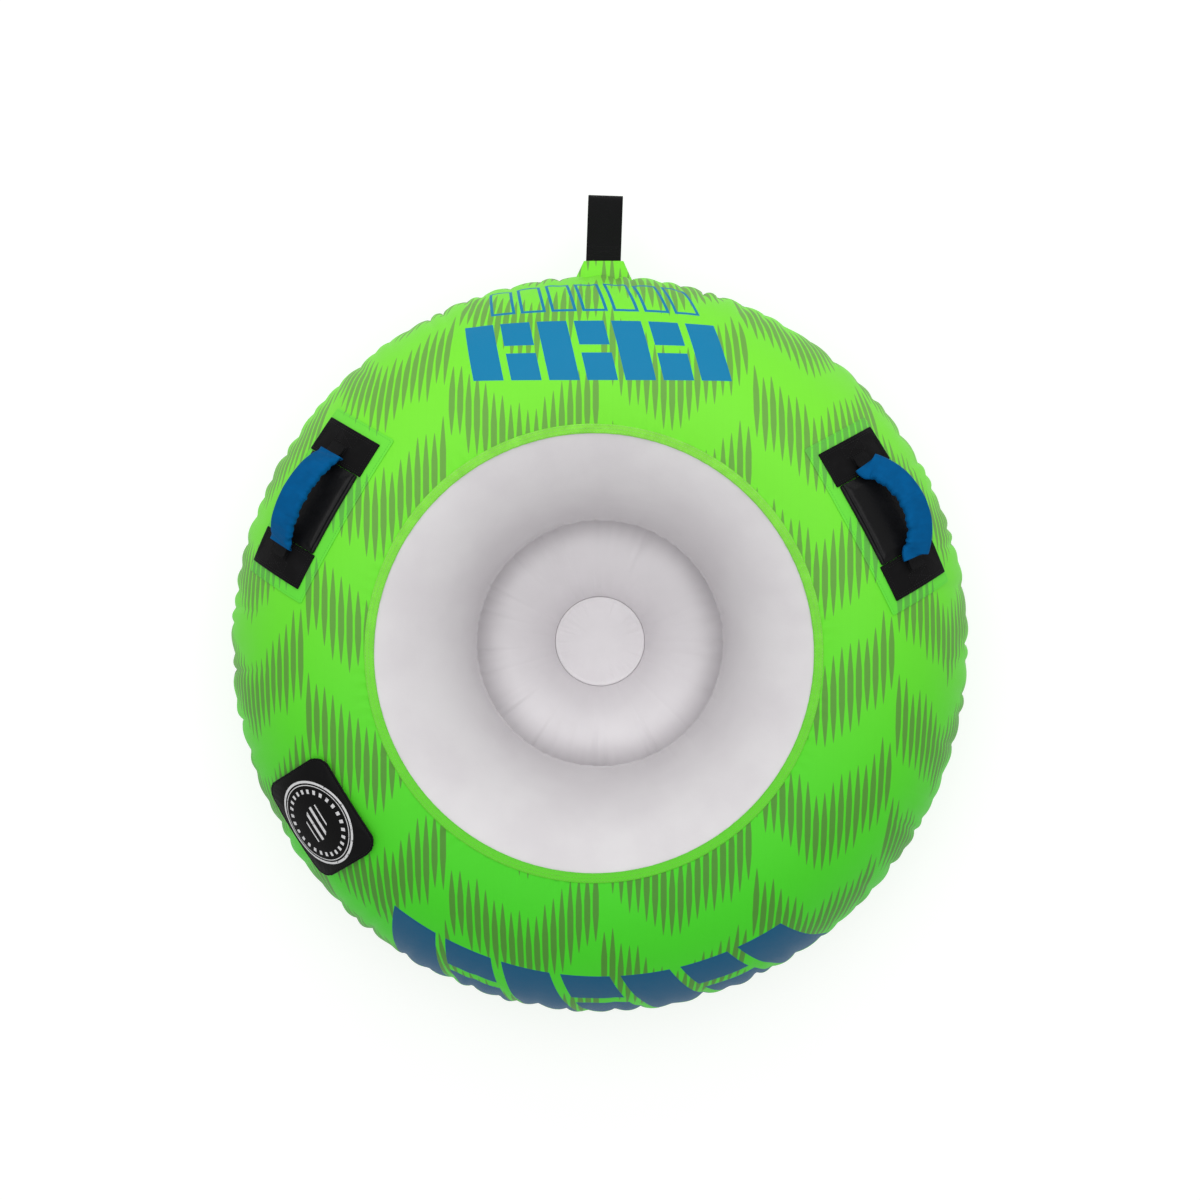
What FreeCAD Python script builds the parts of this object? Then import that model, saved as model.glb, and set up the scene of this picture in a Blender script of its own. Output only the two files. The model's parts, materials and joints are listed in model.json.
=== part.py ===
import FreeCAD, Part
import math
import os
import Sketcher
from FreeCAD import Placement, Rotation, Vector

# A one-rider towable tube, lying flat: an inflated PVC ring with an inflated floor, in a sewn nylon cover.
# The origin is the ring's centre on the ground, +Z is up and the tow loop points along +Y. Millimetres and
# degrees. A "tube angle" turns about the ring's cross-section: 0 is the outermost point, 90 the crest and
# -90 the ground. An "azimuth" turns about Z: 0 is +X, 90 the tow loop.

doc = FreeCAD.newDocument("towable_tube")
sheet = doc.addObject("Spreadsheet::Sheet", "sizes")

SIZES = [
    ("ring_radius", 350),  # from Z to the middle of the cross-section
    ("tube_radius", 175),  # of the cross-section, to the outside of the cover
    ("skin", 1.2),
    ("bladder_gap", 0.4),
    ("layer_gap", 0.1),
    # cover
    ("opening_radius", 299),
    ("opening_shift_x", -8),
    ("opening_shift_y", -10),
    ("top_panel_end", 116),
    ("hem_width", 13.5),
    ("hem_thickness", 1.6),
    ("seam_low", -4),
    ("seam_high", 0),
    ("seam_thickness", 1.5),
    # bladder
    ("weld_half_angle", 1.2),
    ("weld_thickness", 0.9),
    ("floor_weld_low", 223.6),
    ("floor_weld_high", 226.5),
    ("floor_weld_thickness", 4.1),
    ("spot_radius", 67),
    ("spot_height", 20),
    ("spot_thickness", 2),
    ("spot_dome", 330),
    ("floor_radius", 222),
    ("floor_height", 50),
    ("floor_upper_arc", 92),
    ("floor_lower_arc", 121),
    # zipper
    ("zipper_angle", -42),
    ("zipper_start", 225),
    ("zipper_sweep", 90),
    ("zipper_lift", 2.9),
    ("tape_edge", 6.5),
    ("tape_step", 4.2),
    ("tape_top", 2.4),
    ("tape_inner", 1),
    ("tape_thickness", 0.9),
    ("teeth_inner", 0.25),
    ("teeth_thickness", 2),
    ("slider_gap", 0.4),
    ("slider_length", 18),
    ("slider_width", 11),
    ("slider_top_plate", 1.5),
    ("slider_low_plate", 0.9),
    ("slider_post_length", 7),
    ("slider_post_width", 0.9),
    ("lug_length", 4.4),
    ("lug_width", 2.4),
    ("axle_height", 2.8),
    ("pull_round", 2),
    ("pull_pin_radius", 1.1),
    ("pull_width", 7),
    ("pull_slot_length", 5.5),
    ("pull_length", 28),
    ("stop_half_width", 1.7),
    ("stop_height", 1.3),
    # handles
    ("left_azimuth", 153.4),
    ("left_angle", 58),
    ("left_turn", -3.4),
    ("left_lean", -8),
    ("right_azimuth", 25),
    ("right_angle", 62),
    ("right_turn", 3.4),
    ("right_lean", 34),
    ("backing_thickness", 0.8),
    ("backing_half_length", 128),
    ("backing_outer", -54),
    ("backing_inner", 62),
    ("patch_start", 62),
    ("patch_end", 113),
    ("patch_half_width", 50),
    ("patch_thickness", 3),
    ("pad_half_length", 61.7),
    ("pad_half_width", 44),
    ("pad_thickness", 5),
    ("arch_radius", 89),
    ("arch_height", 42),  # of the grip's middle line over the cover
    ("swing_height", 7.6),  # of the line that the grip swings about
    ("swing_wedge", 34),  # half angle, at that line, that the grip stays inside
    ("grip_width", 36),
    ("grip_thickness", 15),
    ("grip_round", 6),
    ("grip_half_sweep", 46),
    ("sleeve_wall", 1.2),
    ("core_half_sweep", 38),
    ("webbing_thickness", 2.4),
    ("handle_webbing_width", 25),
    ("roll_radius", 3),
    ("roll_start", 63.5),
    ("roll_end", 75.5),
    ("root_end", 88),
    ("root_half_width", 12.5),
    # tow loop
    ("tow_side", 5),
    ("tow_hinge", 551),
    ("tow_turn", -2),
    ("tow_droop", 8),
    ("tow_width", 50),
    ("tow_webbing", 2.5),
    ("tow_stitched", 18),
    ("tow_eye_end", 82),
    ("tow_eye_radius", 9),
    ("tow_root_start", 526),
    ("tab_back", 508),
    ("tab_front", 547),
    ("tab_back_width", 88),
    ("tab_back_height", 50),
    ("tab_front_width", 57),
    ("tab_front_height", 12),
    # valve, its surround and its flap
    ("valve_azimuth", 212),
    ("valve_angle", 54),
    ("access_radius", 41),
    ("flange_radius", 36),
    ("flange_thickness", 1),
    ("neck_radius", 20),
    ("neck_bore", 16.2),
    ("neck_depth", 13),
    ("neck_rise", 1.4),
    ("insert_radius", 16),
    ("insert_bore", 12.4),
    ("insert_depth", 11),
    ("insert_floor", 1.2),
    ("air_hole_radius", 2.2),
    ("air_hole_circle", 7.5),
    ("air_hole_count", 6),
    ("diaphragm_radius", 13.5),
    ("diaphragm_thickness", 1),
    ("ring_low", 1.7),
    ("ring_thickness", 0.6),
    ("ring_outer", 20),
    ("cap_low", 2.6),
    ("cap_thickness", 2),
    ("cap_radius", 18),
    ("cap_notch_radius", 2),
    ("cap_notch_count", 12),
    ("plug_radius", 12),
    ("plug_bore", 9.6),
    ("plug_depth", 5.5),
    ("tether_start", 20.3),
    ("tether_end", 33),
    ("tether_half_width", 3.5),
    ("surround_half_length", 62),
    ("surround_outer", -43),
    ("surround_inner", 50),
    ("surround_thickness", 4.4),
    ("surround_round", 20),
    ("flap_half_length", 74),
    ("flap_half_width", 57),
    ("flap_round", 24),
    ("flap_low", 7.6),
    ("flap_thickness", 3),
    ("flap_hinge", -44),
    ("flap_slit", 0.4),
    ("closure_half_length", 45),
    ("closure_outer", 43),
    ("closure_inner", 49),
    ("loop_tape_low", 4.6),
    ("hook_tape_low", 6.1),
    ("closure_thickness", 1.3),
]
for row, (alias, size) in enumerate(SIZES, start=1):
    sheet.set(f"A{row}", alias)
    sheet.set(f"B{row}", str(size))
    sheet.setAlias(f"B{row}", alias)
doc.recompute()

REACH = 40  # half the height of a tool that cuts right through a layer
EXPORTED = []


def value(expression):
    """The number that an expression over the sheet gives."""
    return float(sheet.evalExpression(str(expression).replace("sizes.", "")))


def keep(piece, label):
    """Marks a finished sub-part for export, under its label."""
    piece.Label = label
    EXPORTED.append(piece)
    return piece


def bound(kind, name, placement=None, **sizes):
    """A document object whose named properties follow expressions over the sheet."""
    made = doc.addObject(kind, name)
    if placement is not None:
        made.Placement = placement
    for prop, expression in sizes.items():
        made.setExpression(prop, str(expression))
    return made


def boolean(kind, name, base, tool):
    made = doc.addObject(kind, name)
    made.Base = base
    made.Tool = tool
    return made


def cut(name, base, tool):
    return boolean("Part::Cut", name, base, tool)


def common(name, base, tool):
    return boolean("Part::Common", name, base, tool)


def joined(name, pieces):
    made = doc.addObject("Part::MultiFuse", name)
    made.Shapes = pieces
    return made


# ---------------------------------------------------------------- sheets that follow the ring
def ring_torus(name, radius, low=None, high=None, start="0", sweep=None):
    """A torus about the ring's middle circle, or the wedge of it between two tube angles and azimuths."""
    place = Placement(Vector(0, 0, value("sizes.tube_radius")), Rotation(Vector(0, 0, 1), value(start)))
    made = bound("Part::Torus", name, place, Radius1="sizes.ring_radius", Radius2=radius)
    if low is not None:
        # the torus counts its section angle downwards
        made.setExpression("Angle1", f"-({high})")
        made.setExpression("Angle2", f"-({low})")
    if sweep is not None:
        made.setExpression("Angle3", sweep)
    return made


def layer(name, inner, outer, low=None, high=None, start="0", sweep=None):
    """A sheet between two section radii."""
    shell = ring_torus(name + "_outside", outer, low, high, start, sweep)
    return cut(name, shell, ring_torus(name + "_inside", inner))


def sewn(name, low_height, high_height, outline):
    """A patch between two heights over the cover, cut out by a tall outline."""
    outside = ring_torus(name + "_outside", f"sizes.tube_radius + {high_height}")
    inside = ring_torus(name + "_inside", f"sizes.tube_radius + {low_height}")
    return cut(name, common(name + "_block", outside, outline), inside)


def on_tube(azimuth, angle, turn=0.0):
    """A frame on the cover: x along the ring, y up towards the crest, z straight out."""
    around, up = math.radians(azimuth), math.radians(angle)
    out = Vector(math.cos(up) * math.cos(around), math.cos(up) * math.sin(around), math.sin(up))
    along = Vector(-math.sin(around), math.cos(around), 0)
    middle = Vector(math.cos(around), math.sin(around), 0) * value("sizes.ring_radius")
    middle.z = value("sizes.tube_radius")
    turned = Rotation(along, out.cross(along), out, "ZXY") * Rotation(Vector(0, 0, 1), turn)
    return Placement(middle + out * value("sizes.tube_radius"), turned)


def at(x=0.0, y=0.0, z=0.0, rotation=Rotation()):
    """A placement inside a frame, from numbers or expressions."""
    return Placement(Vector(value(x), value(y), value(z)), rotation)


def block(name, frame, x_range, y_range, z_range):
    """A box in a frame, between pairs of expressions."""
    (x_low, x_high), (y_low, y_high), (z_low, z_high) = x_range, y_range, z_range
    return bound(
        "Part::Box",
        name,
        frame * at(x_low, y_low, z_low),
        Length=f"{x_high} - ({x_low})",
        Width=f"{y_high} - ({y_low})",
        Height=f"{z_high} - ({z_low})",
    )


def slab(name, frame, x_range, y_range):
    """A tall box that cuts a patch out of a layer."""
    return block(name, frame, x_range, y_range, (-REACH, REACH))


def post(name, frame, radius, low=-REACH, high=REACH, x="0", y="0"):
    """A cylinder along a frame's z between two heights."""
    return bound("Part::Cylinder", name, frame * at(x, y, low), Radius=radius, Height=f"{high} - ({low})")


def rod(name, frame, radius, x_low, x_high, z):
    """A cylinder along a frame's x."""
    along_x = at(x_low, 0, z, Rotation(Vector(0, 1, 0), 90))
    return bound("Part::Cylinder", name, frame * along_x, Radius=radius, Height=f"{x_high} - ({x_low})")


def axle(name, frame, radius, half_length, z):
    """A cylinder along a frame's y."""
    across = at(0, f"-({half_length})", z, Rotation(Vector(1, 0, 0), -90))
    return bound("Part::Cylinder", name, frame * across, Radius=radius, Height=f"2 * ({half_length})")


# ---------------------------------------------------------------- sketches
def polar(radius, angle):
    """A point of the ring's cross-section, as two expressions."""
    return (
        f"sizes.ring_radius + ({radius}) * cos({angle})",
        f"sizes.tube_radius + ({radius}) * sin({angle})",
    )


def body_sketch(label, role, placement=None):
    """A PartDesign body with one sketch on one of its own origin planes."""
    body = doc.addObject("PartDesign::Body", label)
    if placement is not None:
        body.Placement = placement
    sketch = body.newObject("Sketcher::SketchObject", label + "_sketch")
    plane = next(feature for feature in body.Origin.OriginFeatures if feature.Role == role)
    sketch.AttachmentSupport = [(plane, "")]
    sketch.MapMode = "FlatFace"
    return body, sketch


def fix_point(sketch, geometry, position, x, y):
    for kind, expression in (("DistanceX", x), ("DistanceY", y)):
        fixed = Sketcher.Constraint(kind, -1, 1, geometry, position, value(expression))
        sketch.setExpression(f"Constraints[{sketch.addConstraint(fixed)}]", expression)


def arc_between(start, end, radius, side):
    """An arc that bulges to the right of start to end when side is 1, and to the left when it is -1."""
    half = (end - start) * 0.5
    rise = radius - math.sqrt(max(radius**2 - half.Length**2, 0))
    bulge = Vector(half.y, -half.x, 0).normalize() * (rise * side)
    return Part.Arc(start, start + half + bulge, end)


def profile(sketch, corners, arcs=None):
    """A closed outline through corners given as expressions; arcs maps a side to its radius and bulge."""
    arcs = arcs or {}
    points = [Vector(value(x), value(y), 0) for x, y in corners]
    sides = []
    for i, start in enumerate(points):
        end = points[(i + 1) % len(points)]
        curve = arc_between(start, end, value(arcs[i][0]), arcs[i][1]) if i in arcs else None
        number = sketch.addGeometry(curve or Part.LineSegment(start, end), False)
        starts_first = (sketch.getPoint(number, 1) - start).Length < 1e-6
        sides.append((number, 1 if starts_first else 2, 2 if starts_first else 1))
    for i, (number, first, last) in enumerate(sides):
        following, next_first, _ = sides[(i + 1) % len(sides)]
        sketch.addConstraint(Sketcher.Constraint("Coincident", number, last, following, next_first))
        fix_point(sketch, number, first, *corners[i])
        if i in arcs:
            held = sketch.addConstraint(Sketcher.Constraint("Radius", number, value(arcs[i][0])))
            sketch.setExpression(f"Constraints[{held}]", arcs[i][0])


def rounded_rectangle(sketch, x_range, y_range, radius):
    """A rectangle whose corners are quarter circles."""
    (x_low, x_high), (y_low, y_high) = x_range, y_range
    corners = [
        (f"{x_low} + {radius}", y_low),
        (f"{x_high} - {radius}", y_low),
        (x_high, f"{y_low} + {radius}"),
        (x_high, f"{y_high} - {radius}"),
        (f"{x_high} - {radius}", y_high),
        (f"{x_low} + {radius}", y_high),
        (x_low, f"{y_high} - {radius}"),
        (x_low, f"{y_low} + {radius}"),
    ]
    profile(sketch, corners, {side: (radius, 1) for side in (1, 3, 5, 7)})


def revolve(body, sketch, angle="360", midplane=False):
    turned = body.newObject("PartDesign::Revolution", body.Name + "_revolution")
    turned.Profile = sketch
    turned.ReferenceAxis = (sketch, ["V_Axis"])
    turned.Midplane = midplane
    turned.setExpression("Angle", angle)
    return body


def pad(body, sketch, length):
    raised = body.newObject("PartDesign::Pad", body.Name + "_pad")
    raised.Profile = sketch
    raised.Midplane = True
    raised.setExpression("Length", length)
    return body


def rounded_slab(name, frame, x_range, y_range, radius):
    """A tall block with rounded corners, which cuts a patch out of a layer."""
    body, sketch = body_sketch(name, "XY_Plane", frame)
    rounded_rectangle(sketch, x_range, y_range, radius)
    return pad(body, sketch, f"2 * {REACH}")


# ---------------------------------------------------------------- cover
COVER = "sizes.tube_radius"
SEWN_ON = "sizes.tube_radius + sizes.layer_gap"
VALVE = on_tube(value("sizes.valve_azimuth"), value("sizes.valve_angle"))


def opening_post(name, radius):
    place = at("sizes.opening_shift_x", "sizes.opening_shift_y")
    return post(name, place, radius, "sizes.tube_radius", "sizes.tube_radius * 3")


def cover():
    """Top panel, hem round its opening, seam tape round the equator, lower band and flat base."""
    top = layer("top_layer", f"{COVER} - sizes.skin", COVER, "0", "sizes.top_panel_end")
    opened = cut("top_open", top, opening_post("opening", "sizes.opening_radius"))
    access = post("valve_access", VALVE, "sizes.access_radius")
    keep(cut("top_panel", opened, access), "cover_top_panel")

    hem = layer("hem_layer", SEWN_ON, f"{SEWN_ON} + sizes.hem_thickness", "80", "sizes.top_panel_end + 3")
    outer_edge = opening_post("hem_outside", "sizes.opening_radius + sizes.hem_width")
    ring = cut("hem_ring", outer_edge, opening_post("hem_inside", "sizes.opening_radius"))
    keep(common("hem", hem, ring), "opening_hem")

    seam = layer(
        "seam", SEWN_ON, f"{SEWN_ON} + sizes.seam_thickness", "sizes.seam_low", "sizes.seam_high"
    )
    keep(seam, "equator_seam_tape")

    band = layer("band_layer", f"{COVER} - sizes.skin", COVER, "-90", "0")
    slot = ring_torus(
        "zipper_slot",
        f"{COVER} + 1",
        "sizes.zipper_angle - sizes.tape_inner",
        "sizes.zipper_angle + sizes.tape_inner",
        "sizes.zipper_start",
        "sizes.zipper_sweep",
    )
    keep(cut("band", band, slot), "cover_lower_band")
    base = bound("Part::Cylinder", "base", Radius="sizes.ring_radius - sizes.layer_gap", Height="sizes.skin")
    keep(base, "base_panel")


# ---------------------------------------------------------------- zipper on the rear shoulder
UNDER_TAPE = f"{SEWN_ON} + sizes.zipper_lift"
TEETH_FOOT = f"{UNDER_TAPE} + (sizes.tape_thickness - sizes.teeth_thickness) / 2"


def zipper():
    """A tape and a row of teeth on each side, with a stop at each end."""
    middle = value("sizes.zipper_start + sizes.zipper_sweep / 2")
    turned = Placement(Vector(), Rotation(Vector(0, 0, 1), middle))
    for name, side in (("upper", "+"), ("lower", "-")):
        body, sketch = body_sketch(f"zipper_{name}_tape", "XZ_Plane", turned)

        def tape_point(radius, offset, side=side):
            return polar(radius, f"sizes.zipper_angle {side} {offset}")

        outline = [
            tape_point(SEWN_ON, "sizes.tape_edge"),
            tape_point(f"{SEWN_ON} + sizes.tape_thickness", "sizes.tape_edge"),
            tape_point(f"{SEWN_ON} + sizes.tape_thickness", "sizes.tape_step"),
            tape_point(f"{UNDER_TAPE} + sizes.tape_thickness", "sizes.tape_top"),
            tape_point(f"{UNDER_TAPE} + sizes.tape_thickness", "sizes.tape_inner"),
            tape_point(UNDER_TAPE, "sizes.tape_inner"),
            tape_point(UNDER_TAPE, "sizes.tape_top"),
            tape_point(SEWN_ON, "sizes.tape_step"),
        ]
        profile(sketch, outline)
        revolve(body, sketch, "sizes.zipper_sweep", midplane=True)
        keep(body, f"zipper_{name}_tape")
        ends = ("sizes.teeth_inner", "sizes.tape_inner")
        near, far = ends if side == "+" else ends[::-1]
        teeth = layer(
            f"{name}_teeth",
            TEETH_FOOT,
            f"{TEETH_FOOT} + sizes.teeth_thickness",
            f"sizes.zipper_angle {side} {near}",
            f"sizes.zipper_angle {side} {far}",
            "sizes.zipper_start",
            "sizes.zipper_sweep",
        )
        keep(teeth, f"zipper_{name}_teeth")
    stop_foot = f"{TEETH_FOOT} + sizes.teeth_thickness + 0.05"
    for name, turn in (("start", "0"), ("end", "sizes.zipper_sweep - 0.5")):
        stop = layer(
            f"stop_{name}",
            stop_foot,
            f"{stop_foot} + sizes.stop_height",
            "sizes.zipper_angle - sizes.stop_half_width",
            "sizes.zipper_angle + sizes.stop_half_width",
            f"sizes.zipper_start + {turn}",
            "0.5",
        )
        keep(stop, f"zipper_{name}_stop")


def slider():
    """Two plates on a thin post between the rows of teeth, with a lug that holds the pull."""
    rest = math.degrees(value("sizes.slider_length / 2 + 3") / value("sizes.ring_radius + 132")) + 0.5
    frame = on_tube(value("sizes.zipper_start") + rest, value("sizes.zipper_angle"))
    teeth_low = "sizes.layer_gap + sizes.zipper_lift + (sizes.tape_thickness - sizes.teeth_thickness) / 2"
    top = f"{teeth_low} + sizes.teeth_thickness + sizes.slider_gap"
    bottom = f"{teeth_low} - sizes.slider_gap"
    lug_foot = f"{top} + sizes.slider_top_plate"
    pivot = f"{lug_foot} + sizes.axle_height"
    length = ("-sizes.slider_length / 2", "sizes.slider_length / 2")
    width = ("-sizes.slider_width / 2", "sizes.slider_width / 2")
    plates = [
        block("slider_top", frame, length, width, (top, lug_foot)),
        block("slider_low", frame, length, width, (f"{bottom} - sizes.slider_low_plate", bottom)),
        block(
            "slider_post",
            frame,
            ("-sizes.slider_post_length / 2", "sizes.slider_post_length / 2"),
            ("-sizes.slider_post_width / 2", "sizes.slider_post_width / 2"),
            (f"{bottom} - 0.2", f"{top} + 0.2"),
        ),
        block(
            "slider_lug",
            frame,
            ("-sizes.lug_length / 2", "sizes.lug_length / 2"),
            ("-sizes.lug_width / 2", "sizes.lug_width / 2"),
            (f"{lug_foot} - 0.2", f"{pivot} + 2.2"),
        ),
    ]
    pin_hole = axle("lug_hole", frame, "sizes.pull_pin_radius + 0.08", "sizes.pull_width", pivot)
    keep(cut("slider", joined("slider_plates", plates), pin_hole), "zipper_slider")

    # the pull hangs straight out: two cheeks beside the lug, a pin through it and a flat tongue
    half = "sizes.pull_width / 2"
    outline = joined(
        "pull_outline",
        [
            axle("pull_eye", frame, "sizes.pull_round", half, pivot),
            block(
                "pull_tongue",
                frame,
                ("-sizes.pull_round", "sizes.pull_round"),
                (f"-{half}", half),
                (pivot, f"{pivot} + sizes.pull_length"),
            ),
        ],
    )
    slot = block(
        "pull_slot",
        frame,
        ("-sizes.pull_round * 2", "sizes.pull_round * 2"),
        ("-sizes.lug_width / 2 - 0.3", "sizes.lug_width / 2 + 0.3"),
        (f"{pivot} - sizes.pull_round * 2", f"{pivot} + sizes.pull_slot_length"),
    )
    pin = axle("pull_pin", frame, "sizes.pull_pin_radius", half, pivot)
    keep(joined("pull", [cut("pull_fork", outline, slot), pin]), "zipper_pull")
    return frame.multVec(Vector(0, 0, value(pivot))), frame


# ---------------------------------------------------------------- bladder
BLADDER = "sizes.tube_radius - sizes.skin - sizes.bladder_gap"
IN_FRAME = "(-sizes.skin - sizes.bladder_gap)"  # of the bladder's outside, in a frame on the cover


def bladder():
    """The hollow ring, its inner weld, the hollow floor cushion and the weld spot in its middle."""
    hollow = layer("ring_shell", f"{BLADDER} - sizes.skin", BLADDER)
    neck_hole = post("neck_hole", VALVE, "sizes.neck_radius + 0.05")
    keep(cut("ring", hollow, neck_hole), "bladder_ring")
    half = "sizes.weld_half_angle"
    outside = f"{BLADDER} + sizes.weld_thickness"
    inner = layer("inner_weld", BLADDER, outside, f"180 - {half}", f"180 + {half}")
    keep(inner, "bladder_inner_weld")
    floor = layer(
        "floor_weld",
        BLADDER,
        f"{BLADDER} + sizes.floor_weld_thickness",
        "sizes.floor_weld_low",
        "sizes.floor_weld_high",
    )
    keep(floor, "bladder_floor_weld")

    def cushion(name, inset):
        body, sketch = body_sketch(name, "XZ_Plane")
        middle = "sizes.spot_height + sizes.spot_thickness / 2"
        corners = [
            (f"sizes.spot_radius + {inset}", f"{middle} + 1.6 - {inset}"),
            (f"sizes.spot_radius + {inset}", f"{middle} - 1.6 + {inset}"),
            (f"sizes.floor_radius - {inset}", f"sizes.floor_height - 1.6 + {inset}"),
            (f"sizes.floor_radius - {inset}", f"sizes.floor_height + 1.6 - {inset}"),
        ]
        arcs = {
            1: (f"sizes.floor_lower_arc - {inset}", 1),
            3: (f"sizes.floor_upper_arc - {inset}", 1),
        }
        profile(sketch, corners, arcs)
        return revolve(body, sketch)

    shell = cut("floor_shell", cushion("floor_outside", "0"), cushion("floor_inside", "sizes.skin"))
    keep(shell, "floor_cushion")

    body, sketch = body_sketch("floor_center_disc", "XZ_Plane")
    top = "sizes.spot_height + sizes.spot_thickness"
    edge = "sizes.spot_radius - sizes.layer_gap"
    crown = f"{top} + sizes.spot_dome - sqrt(sizes.spot_dome ^ 2 - ({edge}) ^ 2)"
    profile(
        sketch,
        [("0", "sizes.spot_height"), (edge, "sizes.spot_height"), (edge, top), ("0", crown)],
        {2: ("sizes.spot_dome", 1)},
    )
    keep(revolve(body, sketch), "floor_center_disc")


# ---------------------------------------------------------------- valve
def valve():
    """A screw valve in the bladder: flange, neck, insert, diaphragm, cap and the ring that tethers it."""
    disc = post("flange_disc", VALVE, "sizes.flange_radius")
    hub = post("flange_hole", VALVE, "sizes.neck_radius + 0.05")
    plate = sewn("flange_plate", IN_FRAME, f"{IN_FRAME} + sizes.flange_thickness", disc)
    keep(cut("flange", plate, hub), "valve_flange")

    seat = VALVE * at(0, 0, IN_FRAME)
    tube = post("neck_outside", seat, "sizes.neck_radius", "-sizes.neck_depth", "sizes.neck_rise")
    keep(cut("neck", tube, post("neck_inside", seat, "sizes.neck_bore")), "valve_neck")

    shell = post("insert_outside", seat, "sizes.insert_radius", "-sizes.insert_depth", "sizes.neck_rise")
    holes = [post("insert_inside", seat, "sizes.insert_bore", "sizes.insert_floor - sizes.insert_depth")]
    for number in range(int(value("sizes.air_hole_count"))):
        angle = math.radians(360 * number / value("sizes.air_hole_count"))
        circle = value("sizes.air_hole_circle")
        x, y = circle * math.cos(angle), circle * math.sin(angle)
        holes.append(post(f"air_hole_{number}", seat, "sizes.air_hole_radius", x=x, y=y))
    keep(cut("insert", shell, joined("insert_holes", holes)), "valve_insert")

    below = "-sizes.insert_depth"
    gate = post("diaphragm", seat, "sizes.diaphragm_radius", f"{below} - sizes.diaphragm_thickness", below)
    keep(gate, "valve_diaphragm")

    ring_top = "sizes.ring_low + sizes.ring_thickness"
    ring = post("ring_disc", seat, "sizes.ring_outer", "sizes.ring_low", ring_top)
    keep(cut("ring_part", ring, post("ring_hole", seat, "sizes.plug_radius + 0.3")), "valve_tether_ring")
    tether = block(
        "tether",
        seat,
        ("sizes.tether_start", "sizes.tether_end"),
        ("-sizes.tether_half_width", "sizes.tether_half_width"),
        ("sizes.flange_thickness + sizes.layer_gap", "sizes.ring_low + sizes.ring_thickness"),
    )
    keep(tether, "valve_tether")

    cap_top = "sizes.cap_low + sizes.cap_thickness"
    lid = post("cap_disc", seat, "sizes.cap_radius", "sizes.cap_low", cap_top)
    plug = post("cap_plug", seat, "sizes.plug_radius", "-sizes.plug_depth", "sizes.cap_low + 0.5")
    removed = [post("plug_hollow", seat, "sizes.plug_bore", "-sizes.plug_depth - 1", "sizes.cap_low")]
    for number in range(int(value("sizes.cap_notch_count"))):
        angle = math.radians(360 * number / value("sizes.cap_notch_count"))
        edge = value("sizes.cap_radius + sizes.cap_notch_radius / 2")
        x, y = edge * math.cos(angle), edge * math.sin(angle)
        removed.append(post(f"cap_notch_{number}", seat, "sizes.cap_notch_radius", x=x, y=y))
    keep(cut("cap", joined("cap_solid", [lid, plug]), joined("cap_cuts", removed)), "valve_cap")
    return seat


def flap():
    """A padded surround on the cover, and the flap over it: sewn at its outer edge, closed by tapes."""
    outline = rounded_slab(
        "surround_outline",
        VALVE,
        ("-sizes.surround_half_length", "sizes.surround_half_length"),
        ("sizes.surround_outer", "sizes.surround_inner"),
        "sizes.surround_round",
    )
    hole = post("surround_hole", VALVE, "sizes.access_radius")
    padded = sewn("surround_pad", "sizes.layer_gap", "sizes.surround_thickness", outline)
    keep(cut("surround", padded, hole), "valve_surround")

    length = ("-sizes.closure_half_length", "sizes.closure_half_length")
    width = ("sizes.closure_outer", "sizes.closure_inner")
    for name, low in (("loop", "sizes.loop_tape_low"), ("hook", "sizes.hook_tape_low")):
        strip = slab(f"{name}_outline", VALVE, length, width)
        keep(sewn(f"{name}_tape", low, f"{low} + sizes.closure_thickness", strip), f"valve_{name}_tape")

    whole_length = ("-sizes.flap_half_length", "sizes.flap_half_length")
    for name, low, high in (
        ("valve_flap_seam", "-sizes.flap_half_width", "sizes.flap_hinge"),
        ("valve_flap", "sizes.flap_hinge + sizes.flap_slit", "sizes.flap_half_width"),
    ):
        whole = rounded_slab(
            f"{name}_outline",
            VALVE,
            whole_length,
            ("-sizes.flap_half_width", "sizes.flap_half_width"),
            "sizes.flap_round",
        )
        side = slab(f"{name}_side", VALVE, whole_length, (low, high))
        outline = common(f"{name}_cut", whole, side)
        keep(sewn(f"{name}_part", "sizes.flap_low", "sizes.flap_low + sizes.flap_thickness", outline), name)


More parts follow.
